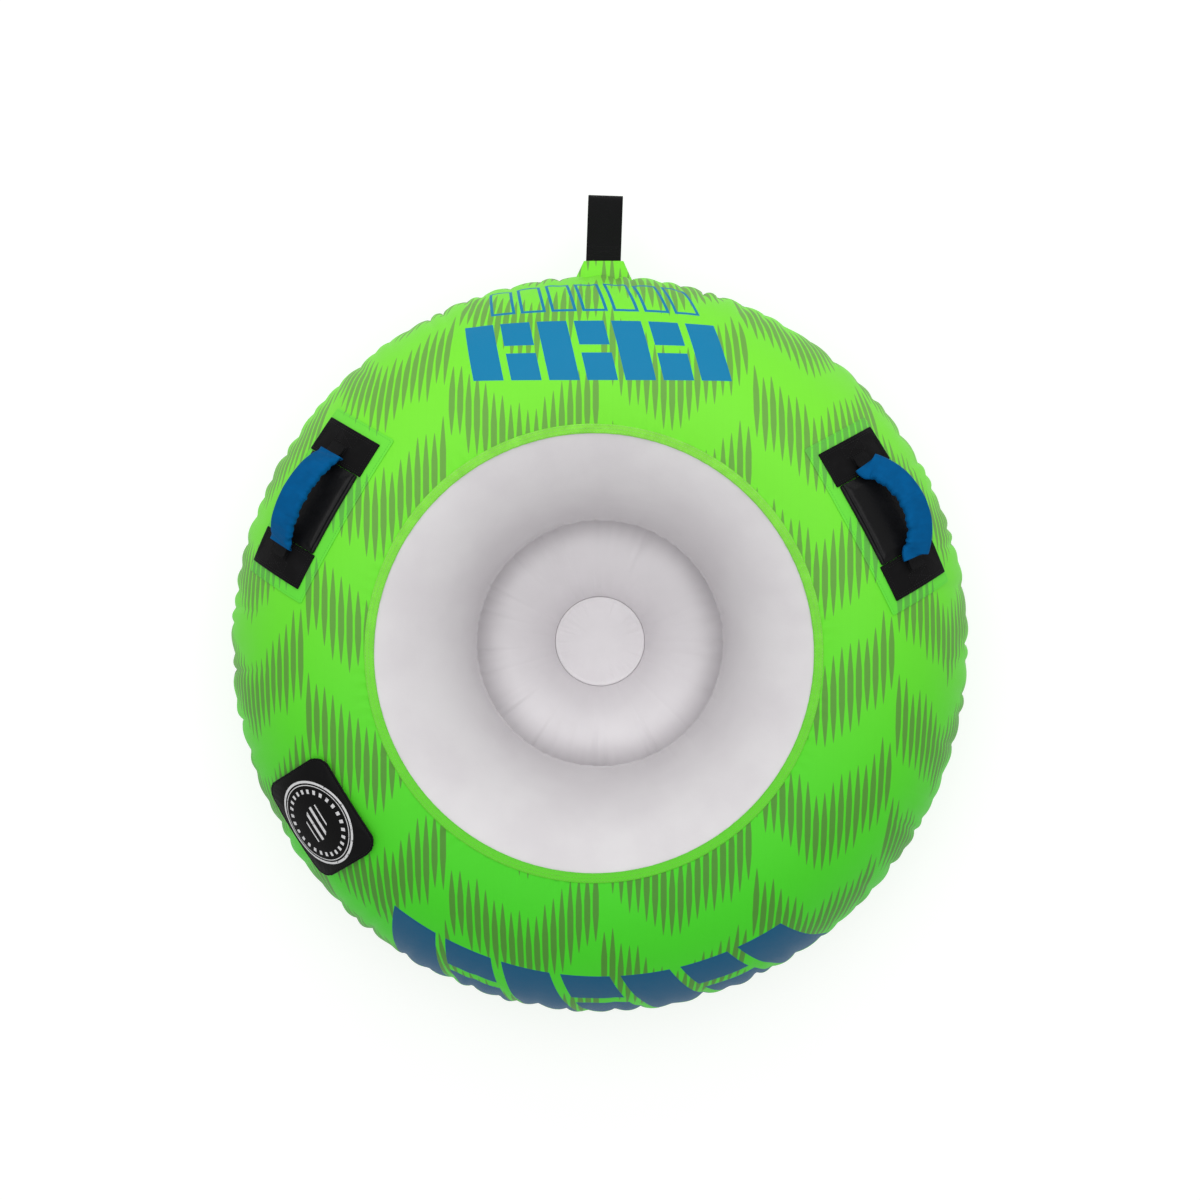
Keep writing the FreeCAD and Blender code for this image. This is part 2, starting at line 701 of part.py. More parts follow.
# ---------------------------------------------------------------- handles
def handle(side):
    """Patches and a knuckle pad sewn on the cover, and a padded grip that swings above them."""
    frame = on_tube(*(value(f"sizes.{side}_{angle}") for angle in ("azimuth", "angle", "turn")))
    node = f"{side}_handle_"
    patch_foot = "sizes.layer_gap * 2 + sizes.backing_thickness"

    def patch(name, low, high, x_range, y_range):
        outline = slab(f"{node}{name}_outline", frame, x_range, y_range)
        keep(sewn(f"{node}{name}_part", low, high, outline), node + name)

    patch(
        "backing_patch",
        "sizes.layer_gap",
        "sizes.layer_gap + sizes.backing_thickness",
        ("-sizes.backing_half_length", "sizes.backing_half_length"),
        ("sizes.backing_outer", "sizes.backing_inner"),
    )
    patch(
        "knuckle_pad",
        patch_foot,
        f"{patch_foot} + sizes.pad_thickness",
        ("-sizes.pad_half_length", "sizes.pad_half_length"),
        ("-sizes.pad_half_width", "sizes.pad_half_width"),
    )
    for name, x_range in (
        ("first", ("sizes.patch_start", "sizes.patch_end")),
        ("second", ("-sizes.patch_end", "-sizes.patch_start")),
    ):
        width = ("-sizes.patch_half_width", "sizes.patch_half_width")
        patch(f"{name}_patch", patch_foot, f"{patch_foot} + sizes.patch_thickness", x_range, width)
    root_foot = f"{patch_foot} + sizes.patch_thickness + sizes.layer_gap"
    for name, x_range in (
        ("first", ("sizes.roll_end + 0.3", "sizes.root_end")),
        ("second", ("-sizes.root_end", "-sizes.roll_end - 0.3")),
    ):
        width = ("-sizes.root_half_width", "sizes.root_half_width")
        patch(f"{name}_strap_root", root_foot, f"{root_foot} + sizes.webbing_thickness", x_range, width)

    pivot = at(0, 0, "sizes.swing_height")
    swung = frame * pivot * Placement(Vector(), Rotation(Vector(1, 0, 0), value(f"sizes.{side}_lean")))
    arch_middle = at(0, 0, "sizes.arch_height - sizes.arch_radius - sizes.swing_height")
    to_arch = Rotation(Vector(0, 0, 1), Vector(1, 0, 0), Vector(0, 1, 0), "ZXY")
    arch = swung * arch_middle * Placement(Vector(), to_arch)

    def arched(name, width, thickness, rounding, half_sweep):
        """A strip bent along the grip's arc, kept inside the wedge that it can swing in."""
        body, sketch = body_sketch(node + name, "XZ_Plane", arch)
        radial = (f"sizes.arch_radius - ({thickness}) / 2", f"sizes.arch_radius + ({thickness}) / 2")
        rounded_rectangle(sketch, radial, (f"-({width}) / 2", f"({width}) / 2"), rounding)
        return revolve(body, sketch, f"2 * ({half_sweep})", midplane=True)

    def wedge(name, half_angle):
        body, sketch = body_sketch(node + name, "YZ_Plane", swung)
        foot, head = "1.2", "sizes.arch_radius"
        spread = f"tan({half_angle})"
        corners = [
            (f"-{foot}", "0"),
            (foot, "0"),
            (f"{foot} + {head} * {spread}", head),
            (f"-{foot} - {head} * {spread}", head),
        ]
        profile(sketch, corners)
        return pad(body, sketch, "sizes.arch_radius * 2")

    width, thickness = "sizes.grip_width", "sizes.grip_thickness"
    thinner = "2 * sizes.sleeve_wall"
    outer = common(
        node + "sleeve_outside",
        arched("sleeve_arch", width, thickness, "sizes.grip_round", "sizes.grip_half_sweep"),
        wedge("sleeve_wedge", "sizes.swing_wedge"),
    )
    inner = common(
        node + "sleeve_inside",
        arched(
            "sleeve_bore",
            f"{width} - {thinner}",
            f"{thickness} - {thinner}",
            "(sizes.grip_round - sizes.sleeve_wall)",
            "sizes.grip_half_sweep + 2",
        ),
        wedge("bore_wedge", "(sizes.swing_wedge - 3)"),
    )
    keep(cut(node + "sleeve_part", outer, inner), node + "grip_sleeve")

    strap_size = ("sizes.handle_webbing_width", "sizes.webbing_thickness", "0.6")
    ends = "acos((sizes.swing_height - sizes.arch_height + sizes.arch_radius) / sizes.arch_radius)"
    strap = common(
        node + "strap_strip",
        arched("strap_arch", *strap_size, ends),
        wedge("strap_wedge", "(sizes.swing_wedge - 8)"),
    )
    rolls = [
        rod(f"{node}roll_{name}", swung, "sizes.roll_radius", low, high, "0")
        for name, low, high in (
            ("first", "sizes.roll_start", "sizes.roll_end"),
            ("second", "-sizes.roll_end", "-sizes.roll_start"),
        )
    ]
    keep(joined(node + "strap_part", [strap, *rolls]), node + "webbing")

    core_arch = arched(
        "core_arch",
        f"{width} - {thinner} - 0.4",
        f"{thickness} - {thinner} - 0.4",
        "(sizes.grip_round - sizes.sleeve_wall - 0.2)",
        "sizes.core_half_sweep",
    )
    core_body = common(node + "core_body", core_arch, wedge("core_wedge", "(sizes.swing_wedge - 4)"))
    slot_size = [f"{size} + 0.4" for size in strap_size[:2]]
    slot = arched("core_slot", *slot_size, "0.7", "sizes.grip_half_sweep")
    keep(cut(node + "core_part", core_body, slot), node + "foam_core")
    return frame, swung


# ---------------------------------------------------------------- tow loop
def tow_loop():
    """A sewn tab on the ring's nose, the webbing rooted in it, and the folded loop that swings at its end."""
    side, middle = value("sizes.tow_side"), value("sizes.tube_radius")
    frame = Placement(Vector(side, 0, middle), Rotation())
    # a wedge block narrows along its own Y, which is the row's +Y here
    tab = bound(
        "Part::Wedge",
        "tab_block",
        frame,
        Xmin="-sizes.tab_back_width / 2",
        Xmax="sizes.tab_back_width / 2",
        Zmin="-sizes.tab_back_height / 2",
        Zmax="sizes.tab_back_height / 2",
        X2min="-sizes.tab_front_width / 2",
        X2max="sizes.tab_front_width / 2",
        Z2min="-sizes.tab_front_height / 2",
        Z2max="sizes.tab_front_height / 2",
        Ymin="sizes.tab_back",
        Ymax="sizes.tab_front",
    )
    room = ring_torus("tab_room", f"{SEWN_ON} + sizes.seam_thickness + sizes.layer_gap")
    half = "sizes.tow_width / 2"
    run = ("sizes.tow_root_start + 2", "sizes.tab_front")
    root = block("tow_root", frame, (f"-{half}", half), run, ("-sizes.tow_webbing", "sizes.tow_webbing"))
    slot = block(
        "tow_slot",
        frame,
        (f"-{half} - 0.1", f"{half} + 0.1"),
        ("sizes.tow_root_start + 1.9", "sizes.tab_front + 1"),
        ("-sizes.tow_webbing - 0.1", "sizes.tow_webbing + 0.1"),
    )
    keep(cut("tab", cut("tab_on_ring", tab, room), slot), "tow_tab")
    keep(root, "tow_webbing_root")

    turned = Rotation(Vector(0, 0, 1), value("sizes.tow_turn"))
    turned = turned * Rotation(Vector(1, 0, 0), -value("sizes.tow_droop"))
    hinge = Placement(Vector(side, value("sizes.tow_hinge"), middle), turned)
    body, sketch = body_sketch("tow_loop_outside", "YZ_Plane", hinge)
    leg = "sizes.tow_webbing"
    eye = "sizes.tow_eye_radius"
    outer = f"({eye} + {leg})"
    corners = [
        ("0", f"-{leg}"),
        ("sizes.tow_stitched", f"-{leg}"),
        ("sizes.tow_eye_end", f"-{outer}"),
        (f"sizes.tow_eye_end + {outer}", "0"),
        ("sizes.tow_eye_end", outer),
        ("sizes.tow_stitched", leg),
        ("0", leg),
        (f"-{leg}", "0"),
    ]
    profile(sketch, corners, {2: (outer, 1), 3: (outer, 1), 6: (leg, 1), 7: (leg, 1)})
    solid = pad(body, sketch, "sizes.tow_width")
    body, sketch = body_sketch("tow_loop_inside", "YZ_Plane", hinge)
    corners = [
        ("sizes.tow_stitched + 4", "-0.2"),
        ("sizes.tow_eye_end", f"-{eye}"),
        (f"sizes.tow_eye_end + {eye}", "0"),
        ("sizes.tow_eye_end", eye),
        ("sizes.tow_stitched + 4", "0.2"),
    ]
    profile(sketch, corners, {1: (eye, 1), 2: (eye, 1)})
    hollow = pad(body, sketch, "sizes.tow_width + 2")
    keep(cut("loop_part", solid, hollow), "tow_loop")
    return hinge


# ---------------------------------------------------------------- build, check and write
def describe(name, placement):
    origin, turn = placement.Base, placement.Rotation
    axes = [turn.multVec(Vector(*axis)) for axis in ((1, 0, 0), (0, 1, 0), (0, 0, 1))]
    words = ["(" + ", ".join(f"{number:.4f}" for number in vector) + ")" for vector in [origin, *axes]]
    print(name, "origin", words[0], "x", words[1], "y", words[2], "z", words[3])


cover()
zipper()
pull_pivot, slider_frame = slider()
bladder()
valve_seat = valve()
flap()
left_frame, left_swing = handle("left")
right_frame, right_swing = handle("right")
tow_hinge = tow_loop()
doc.recompute()

failed = [thing.Label for thing in doc.Objects if {"Invalid", "Error"} & set(thing.State)]
bad = [piece.Label for piece in EXPORTED if piece.Shape.isNull() or not piece.Shape.isValid()]
if failed or bad:
    raise RuntimeError(f"failed objects: {failed}; bad shapes: {bad}")

describe("valve", VALVE)
describe("valve_seat", valve_seat)
describe("slider", Placement(pull_pivot, slider_frame.Rotation))
describe("left_handle", left_frame)
describe("left_swing", left_swing)
describe("right_handle", right_frame)
describe("right_swing", right_swing)
describe("tow_hinge", tow_hinge)

os.makedirs("parts", exist_ok=True)
for piece in EXPORTED:
    shape = piece.Shape
    print(f"{piece.Label}: {len(shape.Solids)} solid, {shape.Volume / 1000:.2f} cm3")
    shape.exportStep(f"parts/{piece.Label}.step")
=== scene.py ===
import json
import math
from contextlib import contextmanager

import bmesh
import bpy
import numpy as np
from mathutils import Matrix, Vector


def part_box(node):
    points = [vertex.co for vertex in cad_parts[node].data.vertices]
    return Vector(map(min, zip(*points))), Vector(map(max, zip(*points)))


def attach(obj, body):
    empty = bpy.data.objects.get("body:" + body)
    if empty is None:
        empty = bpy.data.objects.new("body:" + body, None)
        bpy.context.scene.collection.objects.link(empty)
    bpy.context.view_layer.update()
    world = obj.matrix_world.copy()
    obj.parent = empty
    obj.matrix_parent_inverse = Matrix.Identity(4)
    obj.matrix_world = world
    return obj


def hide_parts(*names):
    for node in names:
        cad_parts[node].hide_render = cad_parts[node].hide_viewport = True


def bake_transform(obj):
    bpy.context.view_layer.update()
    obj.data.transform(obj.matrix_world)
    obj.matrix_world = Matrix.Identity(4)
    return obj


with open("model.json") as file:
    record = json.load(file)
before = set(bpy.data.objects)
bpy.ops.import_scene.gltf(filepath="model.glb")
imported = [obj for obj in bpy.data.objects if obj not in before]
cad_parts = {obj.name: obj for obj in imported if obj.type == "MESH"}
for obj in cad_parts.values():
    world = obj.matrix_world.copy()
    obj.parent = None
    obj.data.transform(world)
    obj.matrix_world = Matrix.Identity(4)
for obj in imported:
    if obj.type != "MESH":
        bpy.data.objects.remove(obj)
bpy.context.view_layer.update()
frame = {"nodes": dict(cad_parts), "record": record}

# The looks of a towable tube lying flat, seen from above. Metres and radians. A tube angle turns about the
# ring's cross-section (0 outermost, pi/2 the crest, pi the hole's edge) and an azimuth turns about Z.

TURN = 2 * math.pi

# ---------------------------------------------------------------- sizes, read from the frame
TOP_LOW, TOP_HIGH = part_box("cover_top_panel")
MIDDLE = TOP_LOW.z  # height of the ring's middle plane
TUBE = TOP_HIGH.z - TOP_LOW.z  # radius of the cross-section, to the cover's outside
RING = TOP_HIGH.x - TUBE
HEM_LOW, HEM_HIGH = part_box("opening_hem")
HEM_WIDTH = 0.0135
OPENING_X = (HEM_LOW.x + HEM_HIGH.x) / 2
OPENING_Y = (HEM_LOW.y + HEM_HIGH.y) / 2
OPENING_RADIUS = (HEM_HIGH.x - HEM_LOW.x) / 2 - HEM_WIDTH
BLADDER = TUBE - 0.0016
JOINTS = {joint["name"]: joint for joint in frame["record"]["behaviour"]["joints"]}


# ---------------------------------------------------------------- points on the ring
def polar(azimuth, reach, height=0.0):
    """Points from their azimuth, distance from the ring's axis and height."""
    return np.stack(np.broadcast_arrays(reach * np.cos(azimuth), reach * np.sin(azimuth), height), -1)


def ring_points(azimuth, angle, height=0.0):
    """Points at a height over the cover, from arrays of azimuth and tube angle."""
    radius = TUBE + height
    return polar(azimuth, RING + radius * np.cos(angle), MIDDLE + radius * np.sin(angle))


def opening_angle(azimuth, inset=0.0):
    """The tube angle of the cover's opening, or of a circle that lies outside it by inset."""
    toward = OPENING_X * np.cos(azimuth) + OPENING_Y * np.sin(azimuth)
    apart = OPENING_X**2 + OPENING_Y**2
    reach = toward + np.sqrt(toward**2 - apart + (OPENING_RADIUS + inset) ** 2)
    return np.arccos((reach - RING) / TUBE)


def unit(vectors):
    return vectors / np.linalg.norm(vectors, axis=-1, keepdims=True)


class Place:
    """A frame on the cover: x along the ring, y towards the crest, z straight out."""

    def __init__(self, point, along=None):
        point = Vector(point)
        outward = Vector((point.x, point.y, 0)).normalized()
        middle = outward * RING + Vector((0, 0, MIDDLE))
        self.z = (point - middle).normalized()
        self.x = Vector(along).normalized() if along else Vector((0, 0, 1)).cross(outward)
        self.y = self.z.cross(self.x)
        self.origin = np.array(middle + self.z * TUBE)
        self.axes = np.array([self.x, self.y, self.z])

    def points(self, local):
        """Points in the row frame, from local ones."""
        return self.origin + np.asarray(local, float) @ self.axes

    def on_cover(self, spots, height):
        """Points over the cover at local (x, y) pairs."""
        goal = flat = np.asarray(spots, float)[..., :2]
        for _ in range(4):
            point = self.origin + flat @ self.axes[:2]
            middle = unit(point * [1, 1, 0]) * RING + [0, 0, MIDDLE]
            placed = middle + unit(point - middle) * (TUBE + np.asarray(height, float)[..., None])
            flat = flat + goal - (placed - self.origin) @ self.axes[:2].T
        return placed


def joint_place(name):
    joint = JOINTS[name]
    return Place(joint["pos_m"], joint["axis"])


LEFT = joint_place("left_grip_swing")
RIGHT = joint_place("right_grip_swing")
VALVE = Place(JOINTS["valve_cap_turn"]["pos_m"])


# ---------------------------------------------------------------- meshes
def new_object(name, vertices, faces, smooth=True):
    mesh = bpy.data.meshes.new(name)
    mesh.from_pydata([tuple(v) for v in vertices], [], [tuple(f) for f in faces])
    mesh.validate()
    mesh.update()
    mesh.shade_smooth() if smooth else mesh.shade_flat()
    piece = bpy.data.objects.new(name, mesh)
    bpy.context.scene.collection.objects.link(piece)
    return piece


def set_uv(piece, coordinates):
    """The piece's only UV map, from one (u, v) pair per vertex."""
    layers = piece.data.uv_layers
    while layers:
        layers.remove(layers[0])
    loops = np.empty(len(piece.data.loops), np.int32)
    piece.data.loops.foreach_get("vertex_index", loops)
    layers.new(name="UVMap").data.foreach_set("uv", np.asarray(coordinates, np.float32)[loops].ravel())


def grid(name, points, uv=None, wrap_rows=False, wrap_columns=False):
    """A surface through an array of points [row, column, xyz]."""
    rows, columns = points.shape[:2]
    index = np.arange(rows * columns).reshape(rows, columns)
    down = index if wrap_rows else index[:-1]
    below = np.roll(index, -1, 0) if wrap_rows else index[1:]
    if wrap_columns:
        faces = np.stack([down, np.roll(down, -1, 1), np.roll(below, -1, 1), below], -1)
    else:
        faces = np.stack([down[:, :-1], down[:, 1:], below[:, 1:], below[:, :-1]], -1)
    piece = new_object(name, points.reshape(-1, 3), faces.reshape(-1, 4))
    if uv is not None:
        set_uv(piece, uv.reshape(-1, 2))
    return piece


def modify(piece, kind, **settings):
    """Changes a piece by one modifier."""
    modifier = piece.modifiers.new(kind.title(), kind)
    for name, setting in settings.items():
        setattr(modifier, name, setting)
    depsgraph = bpy.context.evaluated_depsgraph_get()
    old, piece.data = piece.data, bpy.data.meshes.new_from_object(piece.evaluated_get(depsgraph), depsgraph=depsgraph)
    piece.modifiers.clear()
    bpy.data.meshes.remove(old)
    return piece


@contextmanager
def edited(piece):
    """A piece's mesh as a bmesh, which goes back into the piece afterwards."""
    shape = bmesh.new()
    shape.from_mesh(piece.data)
    shape.verts.ensure_lookup_table()
    yield shape
    shape.to_mesh(piece.data)
    shape.free()


def face_outward(piece):
    """Turns every closed shell's faces outwards."""
    with edited(piece) as shape:
        bmesh.ops.recalc_face_normals(shape, faces=shape.faces)


def thicken(piece, thickness, offset=-1.0):
    face_outward(piece)
    return modify(piece, "SOLIDIFY", thickness=thickness, offset=offset)


def close_loops(piece, *loops):
    """Fills rings of vertices, given by index, with one face each, sharp at its edge."""
    with edited(piece) as shape:
        for loop in loops:
            for edge in shape.faces.new([shape.verts[i] for i in loop]).edges:
                edge.smooth = False


def lengths_along(path):
    """The distance from a path's start to each of its points."""
    return np.concatenate([[0], np.cumsum(np.linalg.norm(np.diff(path, axis=0), axis=1))])


def sweep(name, path, across, up, section):
    """A closed section, as (across, up) pairs per path point or one list, carried along a path."""
    section = np.broadcast_to(section, (len(path), *np.shape(section)[-2:]))
    points = path[:, None] + section[..., :1] * across[:, None] + section[..., 1:] * up[:, None]
    count = section.shape[1]
    uv = np.stack(np.broadcast_arrays(lengths_along(path)[:, None], np.arange(count) / count), -1)
    piece = grid(name, points, uv, wrap_columns=True)
    close_loops(piece, range(count), range((len(path) - 1) * count, len(path) * count))
    return piece


def rounded_section(width, height, radius, steps=5):
    """A rounded rectangle's outline, counter-clockwise, as (x, y) pairs."""
    corners = np.array([(1, 1), (-1, 1), (-1, -1), (1, -1)]) * [width / 2 - radius, height / 2 - radius]
    angle = TURN / 4 * (np.arange(4)[:, None] + np.arange(steps + 1) / steps)
    arcs = radius * np.stack([np.cos(angle), np.sin(angle)], -1)
    return (corners[:, None] + arcs).reshape(-1, 2)


def waves(azimuth, count, seed):
    """A random ripple round the ring, from about -1 to 1, with about count waves."""
    random = np.random.default_rng(seed)
    total = np.zeros_like(azimuth)
    for _ in range(5):
        total = total + np.sin(round(count * random.uniform(0.65, 1.35)) * azimuth + random.uniform(0, TURN))
    return total / 3


def soft_noise(spots, size, seed):
    """A random surface over (x, y) pairs, from -1 to 1, with bumps of a size."""
    table = np.random.default_rng(seed).uniform(-1, 1, (64, 64))
    x, y = spots[..., 0] / size, spots[..., 1] / size
    column, row = np.floor(x).astype(int), np.floor(y).astype(int)
    a, b = x - column, y - row
    a, b = a * a * (3 - 2 * a), b * b * (3 - 2 * b)
    low = table[row % 64, column % 64] * (1 - a) + table[row % 64, (column + 1) % 64] * a
    high = table[(row + 1) % 64, column % 64] * (1 - a) + table[(row + 1) % 64, (column + 1) % 64] * a
    return low * (1 - b) + high * b


def hill(distance, width):
    """1 where the distance is 0, and almost 0 past twice the width."""
    return np.exp(-((distance / width) ** 2))


def smooth_step(x, low, high):
    """0 below low, 1 above high, smooth between."""
    t = np.clip((np.asarray(x) - low) / (high - low), 0, 1)
    return t * t * (3 - 2 * t)


def gathers(azimuth, distance, count, seed):
    """How far a gathering seam draws cloth in, from 0 to about 1, at a distance from the seam."""
    random = np.random.default_rng(seed)
    widths = random.uniform(0.6, 1.4, count)
    edges = np.concatenate([[0], np.cumsum(widths)]) * TURN / widths.sum()
    depths = random.uniform(0.3, 1.25, count)
    reaches = random.uniform(0.038, 0.100, count)
    turn = np.mod(azimuth, TURN)
    index = np.clip(np.searchsorted(edges, turn, side="right") - 1, 0, count - 1)
    within = (turn - edges[index]) / (edges[index + 1] - edges[index])
    after = (index + 1) % count
    depth = depths[index] * (1 - within) + depths[after] * within
    reach = reaches[index] * (1 - within) + reaches[after] * within
    pinch = 1 - np.sin(math.pi * within) ** (0.42 + np.clip(distance / 0.06, 0, 1) * 0.8)
    return depth * pinch * hill(distance, reach)


# share of a stitch's length, and width and height there
STITCH_PROFILE = ((0.0, 0.35, -0.3), (0.22, 1, 0.85), (0.78, 1, 0.85), (1.0, 0.35, -0.3))


def stitches(lines, length, gap, width, height):
    """Threads as vertices and faces, from (points, normals) lines that lie on a surface."""
    vertices, faces = [], []
    for points, normals in lines:
        along = lengths_along(points)
        starts = np.arange(gap / 2, along[-1] - length, length + gap)

        def at(distance, values):
            return np.stack([np.interp(distance, along, values[:, i]) for i in range(3)], -1)

        begin = at(starts, points)
        run = at(starts + length, points) - begin
        normal = unit(at(starts + length / 2, normals))
        side = unit(np.cross(normal, run)) * width / 2
        low, normal = normal * height * -0.3, normal * height
        rings = []
        for share, wide, high in STITCH_PROFILE:
            center, half, top = begin + run * share, side * wide, normal * high
            rings.append([center - half + low, center - half / 2 + top, center + half / 2 + top, center + half + low])
        block = np.array(rings).transpose(2, 0, 1, 3)  # [stitch, ring, corner, xyz]
        offset = sum(len(v) for v in vertices)
        index = offset + np.arange(len(starts) * 16).reshape(-1, 4, 4)
        near, far = index[:, :-1], index[:, 1:]
        sides = np.stack([near, np.roll(near, -1, 2), np.roll(far, -1, 2), far], -1)
        vertices.append(block.reshape(-1, 3))
        faces += [sides.reshape(-1, 4), index[:, 0], index[:, 3, ::-1]]
    return np.concatenate(vertices), np.concatenate(faces)


def sew(name, body, slot, material, lines, length=0.0027, gap=0.0013, width=0.0008, height=0.0005):
    """One piece with all the stitches of some lines."""
    return finish(new_object(name, *stitches(lines, length, gap, width, height)), body, slot, material)


def mesh_arrays(piece):
    vertices = np.empty(len(piece.data.vertices) * 3)
    piece.data.vertices.foreach_get("co", vertices)
    return vertices.reshape(-1, 3), [tuple(face.vertices) for face in piece.data.polygons]


def band(name, azimuth, middle, section, offset, closed=True):
    """A strip round the ring: (distance towards the crest, height) pairs about a tube angle."""
    section = np.asarray(section, float)
    angle = np.broadcast_to(middle, azimuth.shape)[None] + section[:, :1] / TUBE
    around = np.broadcast_to(azimuth, angle.shape)
    points = ring_points(around, angle, section[:, 1:] + offset(around, angle))
    uv = np.stack(np.broadcast_arrays(around * RING, section[:, :1]), -1)
    piece = grid(name, points, uv, wrap_rows=True, wrap_columns=closed)
    if not closed:
        count = len(azimuth)
        starts = np.arange(len(section)) * count
        close_loops(piece, starts, starts[::-1] + count - 1)
    return piece


def finish(piece, body, slot, material, *nodes):
    """Gives a piece its material, its body and the CAD nodes that it stands for."""
    face_outward(piece)
    piece.data.materials.clear()
    piece.data.materials.append(material)
    if body:
        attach(piece, body)
    if nodes:
        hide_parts(*nodes)
    return piece


# ---------------------------------------------------------------- material graphs
def operator(operation, swapped=False):
    """A method that makes a math node from a field and what it is combined with."""

    def combine(field, *others):
        return field.graph.math(operation, *((*others, field) if swapped else (field, *others)))

    return combine


class Field:
    """A number that varies over a surface: a node socket that can be used in a sum."""

    def __init__(self, graph, socket):
        self.graph, self.socket = graph, socket

    __add__ = __radd__ = operator("ADD")
    __sub__, __rsub__ = operator("SUBTRACT"), operator("SUBTRACT", swapped=True)
    __mul__ = __rmul__ = operator("MULTIPLY")
    __truediv__ = operator("DIVIDE")
    __lt__, __gt__ = operator("LESS_THAN"), operator("GREATER_THAN")
    __abs__ = operator("ABSOLUTE")
    floor, fract, sine, power = operator("FLOOR"), operator("FRACT"), operator("SINE"), operator("POWER")

    def step(self, low, high):
        """0 below low, 1 above high, smooth between."""
        node = self.graph.node("ShaderNodeMapRange", interpolation_type="SMOOTHSTEP")
        self.graph.put(node.inputs["Value"], self)
        node.inputs["From Min"].default_value = low
        node.inputs["From Max"].default_value = high
        return Field(self.graph, node.outputs["Result"])


class Graph:
    """A material with a Principled shader, and short ways to add nodes to it."""

    def __init__(self, name, color=(0.5, 0.5, 0.5), roughness=0.6, **settings):
        self.material = bpy.data.materials.new(name)
        self.material.use_nodes = True
        self.tree = self.material.node_tree
        self.shader = self.tree.nodes["Principled BSDF"]
        self.shader.inputs["Base Color"].default_value = (*color, 1)
        self.shader.inputs["Roughness"].default_value = roughness
        for socket, setting in settings.items():
            self.shader.inputs[socket.replace("_", " ").title().replace("Ior", "IOR")].default_value = setting

    def node(self, kind, **settings):
        made = self.tree.nodes.new(kind)
        for name, setting in settings.items():
            setattr(made, name, setting)
        return made

    def put(self, socket, value):
        if isinstance(value, Field):
            self.tree.links.new(value.socket, socket)
        else:
            socket.default_value = value

    def math(self, operation, *values):
        made = self.node("ShaderNodeMath", operation=operation)
        for socket, value in zip(made.inputs, values):
            self.put(socket, value)
        return Field(self, made.outputs[0])

    def coordinates(self, output="UV"):
        """Two or three fields: the UV map's u and v, or the object's own x, y and z."""
        texture = self.node("ShaderNodeTexCoord")
        split = self.node("ShaderNodeSeparateXYZ")
        self.tree.links.new(texture.outputs[output], split.inputs[0])
        fields = [Field(self, socket) for socket in split.outputs]
        return fields[:2] if output == "UV" else fields

    def texture(self, kind, output, **settings):
        """A texture over the object's own coordinates."""
        made = self.node(kind)
        self.tree.links.new(self.node("ShaderNodeTexCoord").outputs["Object"], made.inputs["Vector"])
        for socket, setting in settings.items():
            made.inputs[socket].default_value = setting
        return Field(self, made.outputs[output])

    def noise(self, scale, detail=3.0):
        return self.texture("ShaderNodeTexNoise", 0, Scale=scale, Detail=detail, Roughness=0.55)

    def cells(self, scale):
        """Distance to the nearest of scattered points."""
        return self.texture("ShaderNodeTexVoronoi", "Distance", Scale=scale)

    def random(self, seed_field):
        made = self.node("ShaderNodeTexWhiteNoise", noise_dimensions="1D")
        self.put(made.inputs["W"], seed_field)
        return Field(self, made.outputs["Value"])

    def mix(self, share, first, second):
        """A colour between two, each a colour or another mix."""
        made = self.node("ShaderNodeMix", data_type="RGBA")
        self.put(made.inputs["Factor"], share)
        for socket, color in ((made.inputs[6], first), (made.inputs[7], second)):
            self.put(socket, color if isinstance(color, Field) else (*color, 1))
        return Field(self, made.outputs[2])

    def color(self, field):
        self.put(self.shader.inputs["Base Color"], field)

    def roughness(self, field):
        self.put(self.shader.inputs["Roughness"], field)

    def bump(self, height, distance, strength=1.0):
        made = self.node("ShaderNodeBump")
        made.inputs["Distance"].default_value = distance
        made.inputs["Strength"].default_value = strength
        self.tree.links.new(height.socket, made.inputs["Height"])
        self.tree.links.new(made.outputs[0], self.shader.inputs["Normal"])


def weave(graph, x, y, pitch):
    """A plain weave's height, from 0 to 1, over two coordinates."""
    warp = (x * (TURN / 2 / pitch)).sine()
    weft = (y * (TURN / 2 / pitch)).sine()
    return abs(warp) * 0.5 + abs(weft) * 0.5


def rows_of_bars(graph, u, v, u_range, v_range, count, duty, slant, border=0.0):
    """A mask of slanted bars in a row; with a border, of their outlines only."""
    shifted = u + v * slant
    pitch = (u_range[1] - u_range[0]) / count
    middle = sum(v_range) / 2
    half_height = (v_range[1] - v_range[0]) / 2
    away = abs(v - middle)
    across = abs(((shifted - u_range[0]) / pitch).fract() - 0.5)
    inside = (shifted > u_range[0]) * (shifted < u_range[1])
    whole = (away < half_height) * (across < duty / 2) * inside
    if not border:
        return whole
    hollow = (away < half_height - border) * (across < duty / 2 - border / pitch) * inside
    return whole - hollow


# Each print colour twice, lit at the tow end and shaded at the rear: painted light and painted shade.
LIT_GREEN, SHADED_GREEN = (0.195, 0.80, 0.034), (0.052, 0.60, 0.014)
LIT_STROKE, SHADED_STROKE = (0.15, 0.39, 0.06), (0.066, 0.25, 0.026)
LIT_BLUE, SHADED_BLUE = (0.0, 0.205, 0.41), (0.0, 0.085, 0.185)


def lit_to_shaded(graph, v, top, low):
    """The print's colour, lighter at the tow end and darker towards the rear: painted light and painted shade, as from
    a light above the tow end.
    """
    return graph.mix(v.step(-0.42, 0.40), low, top)


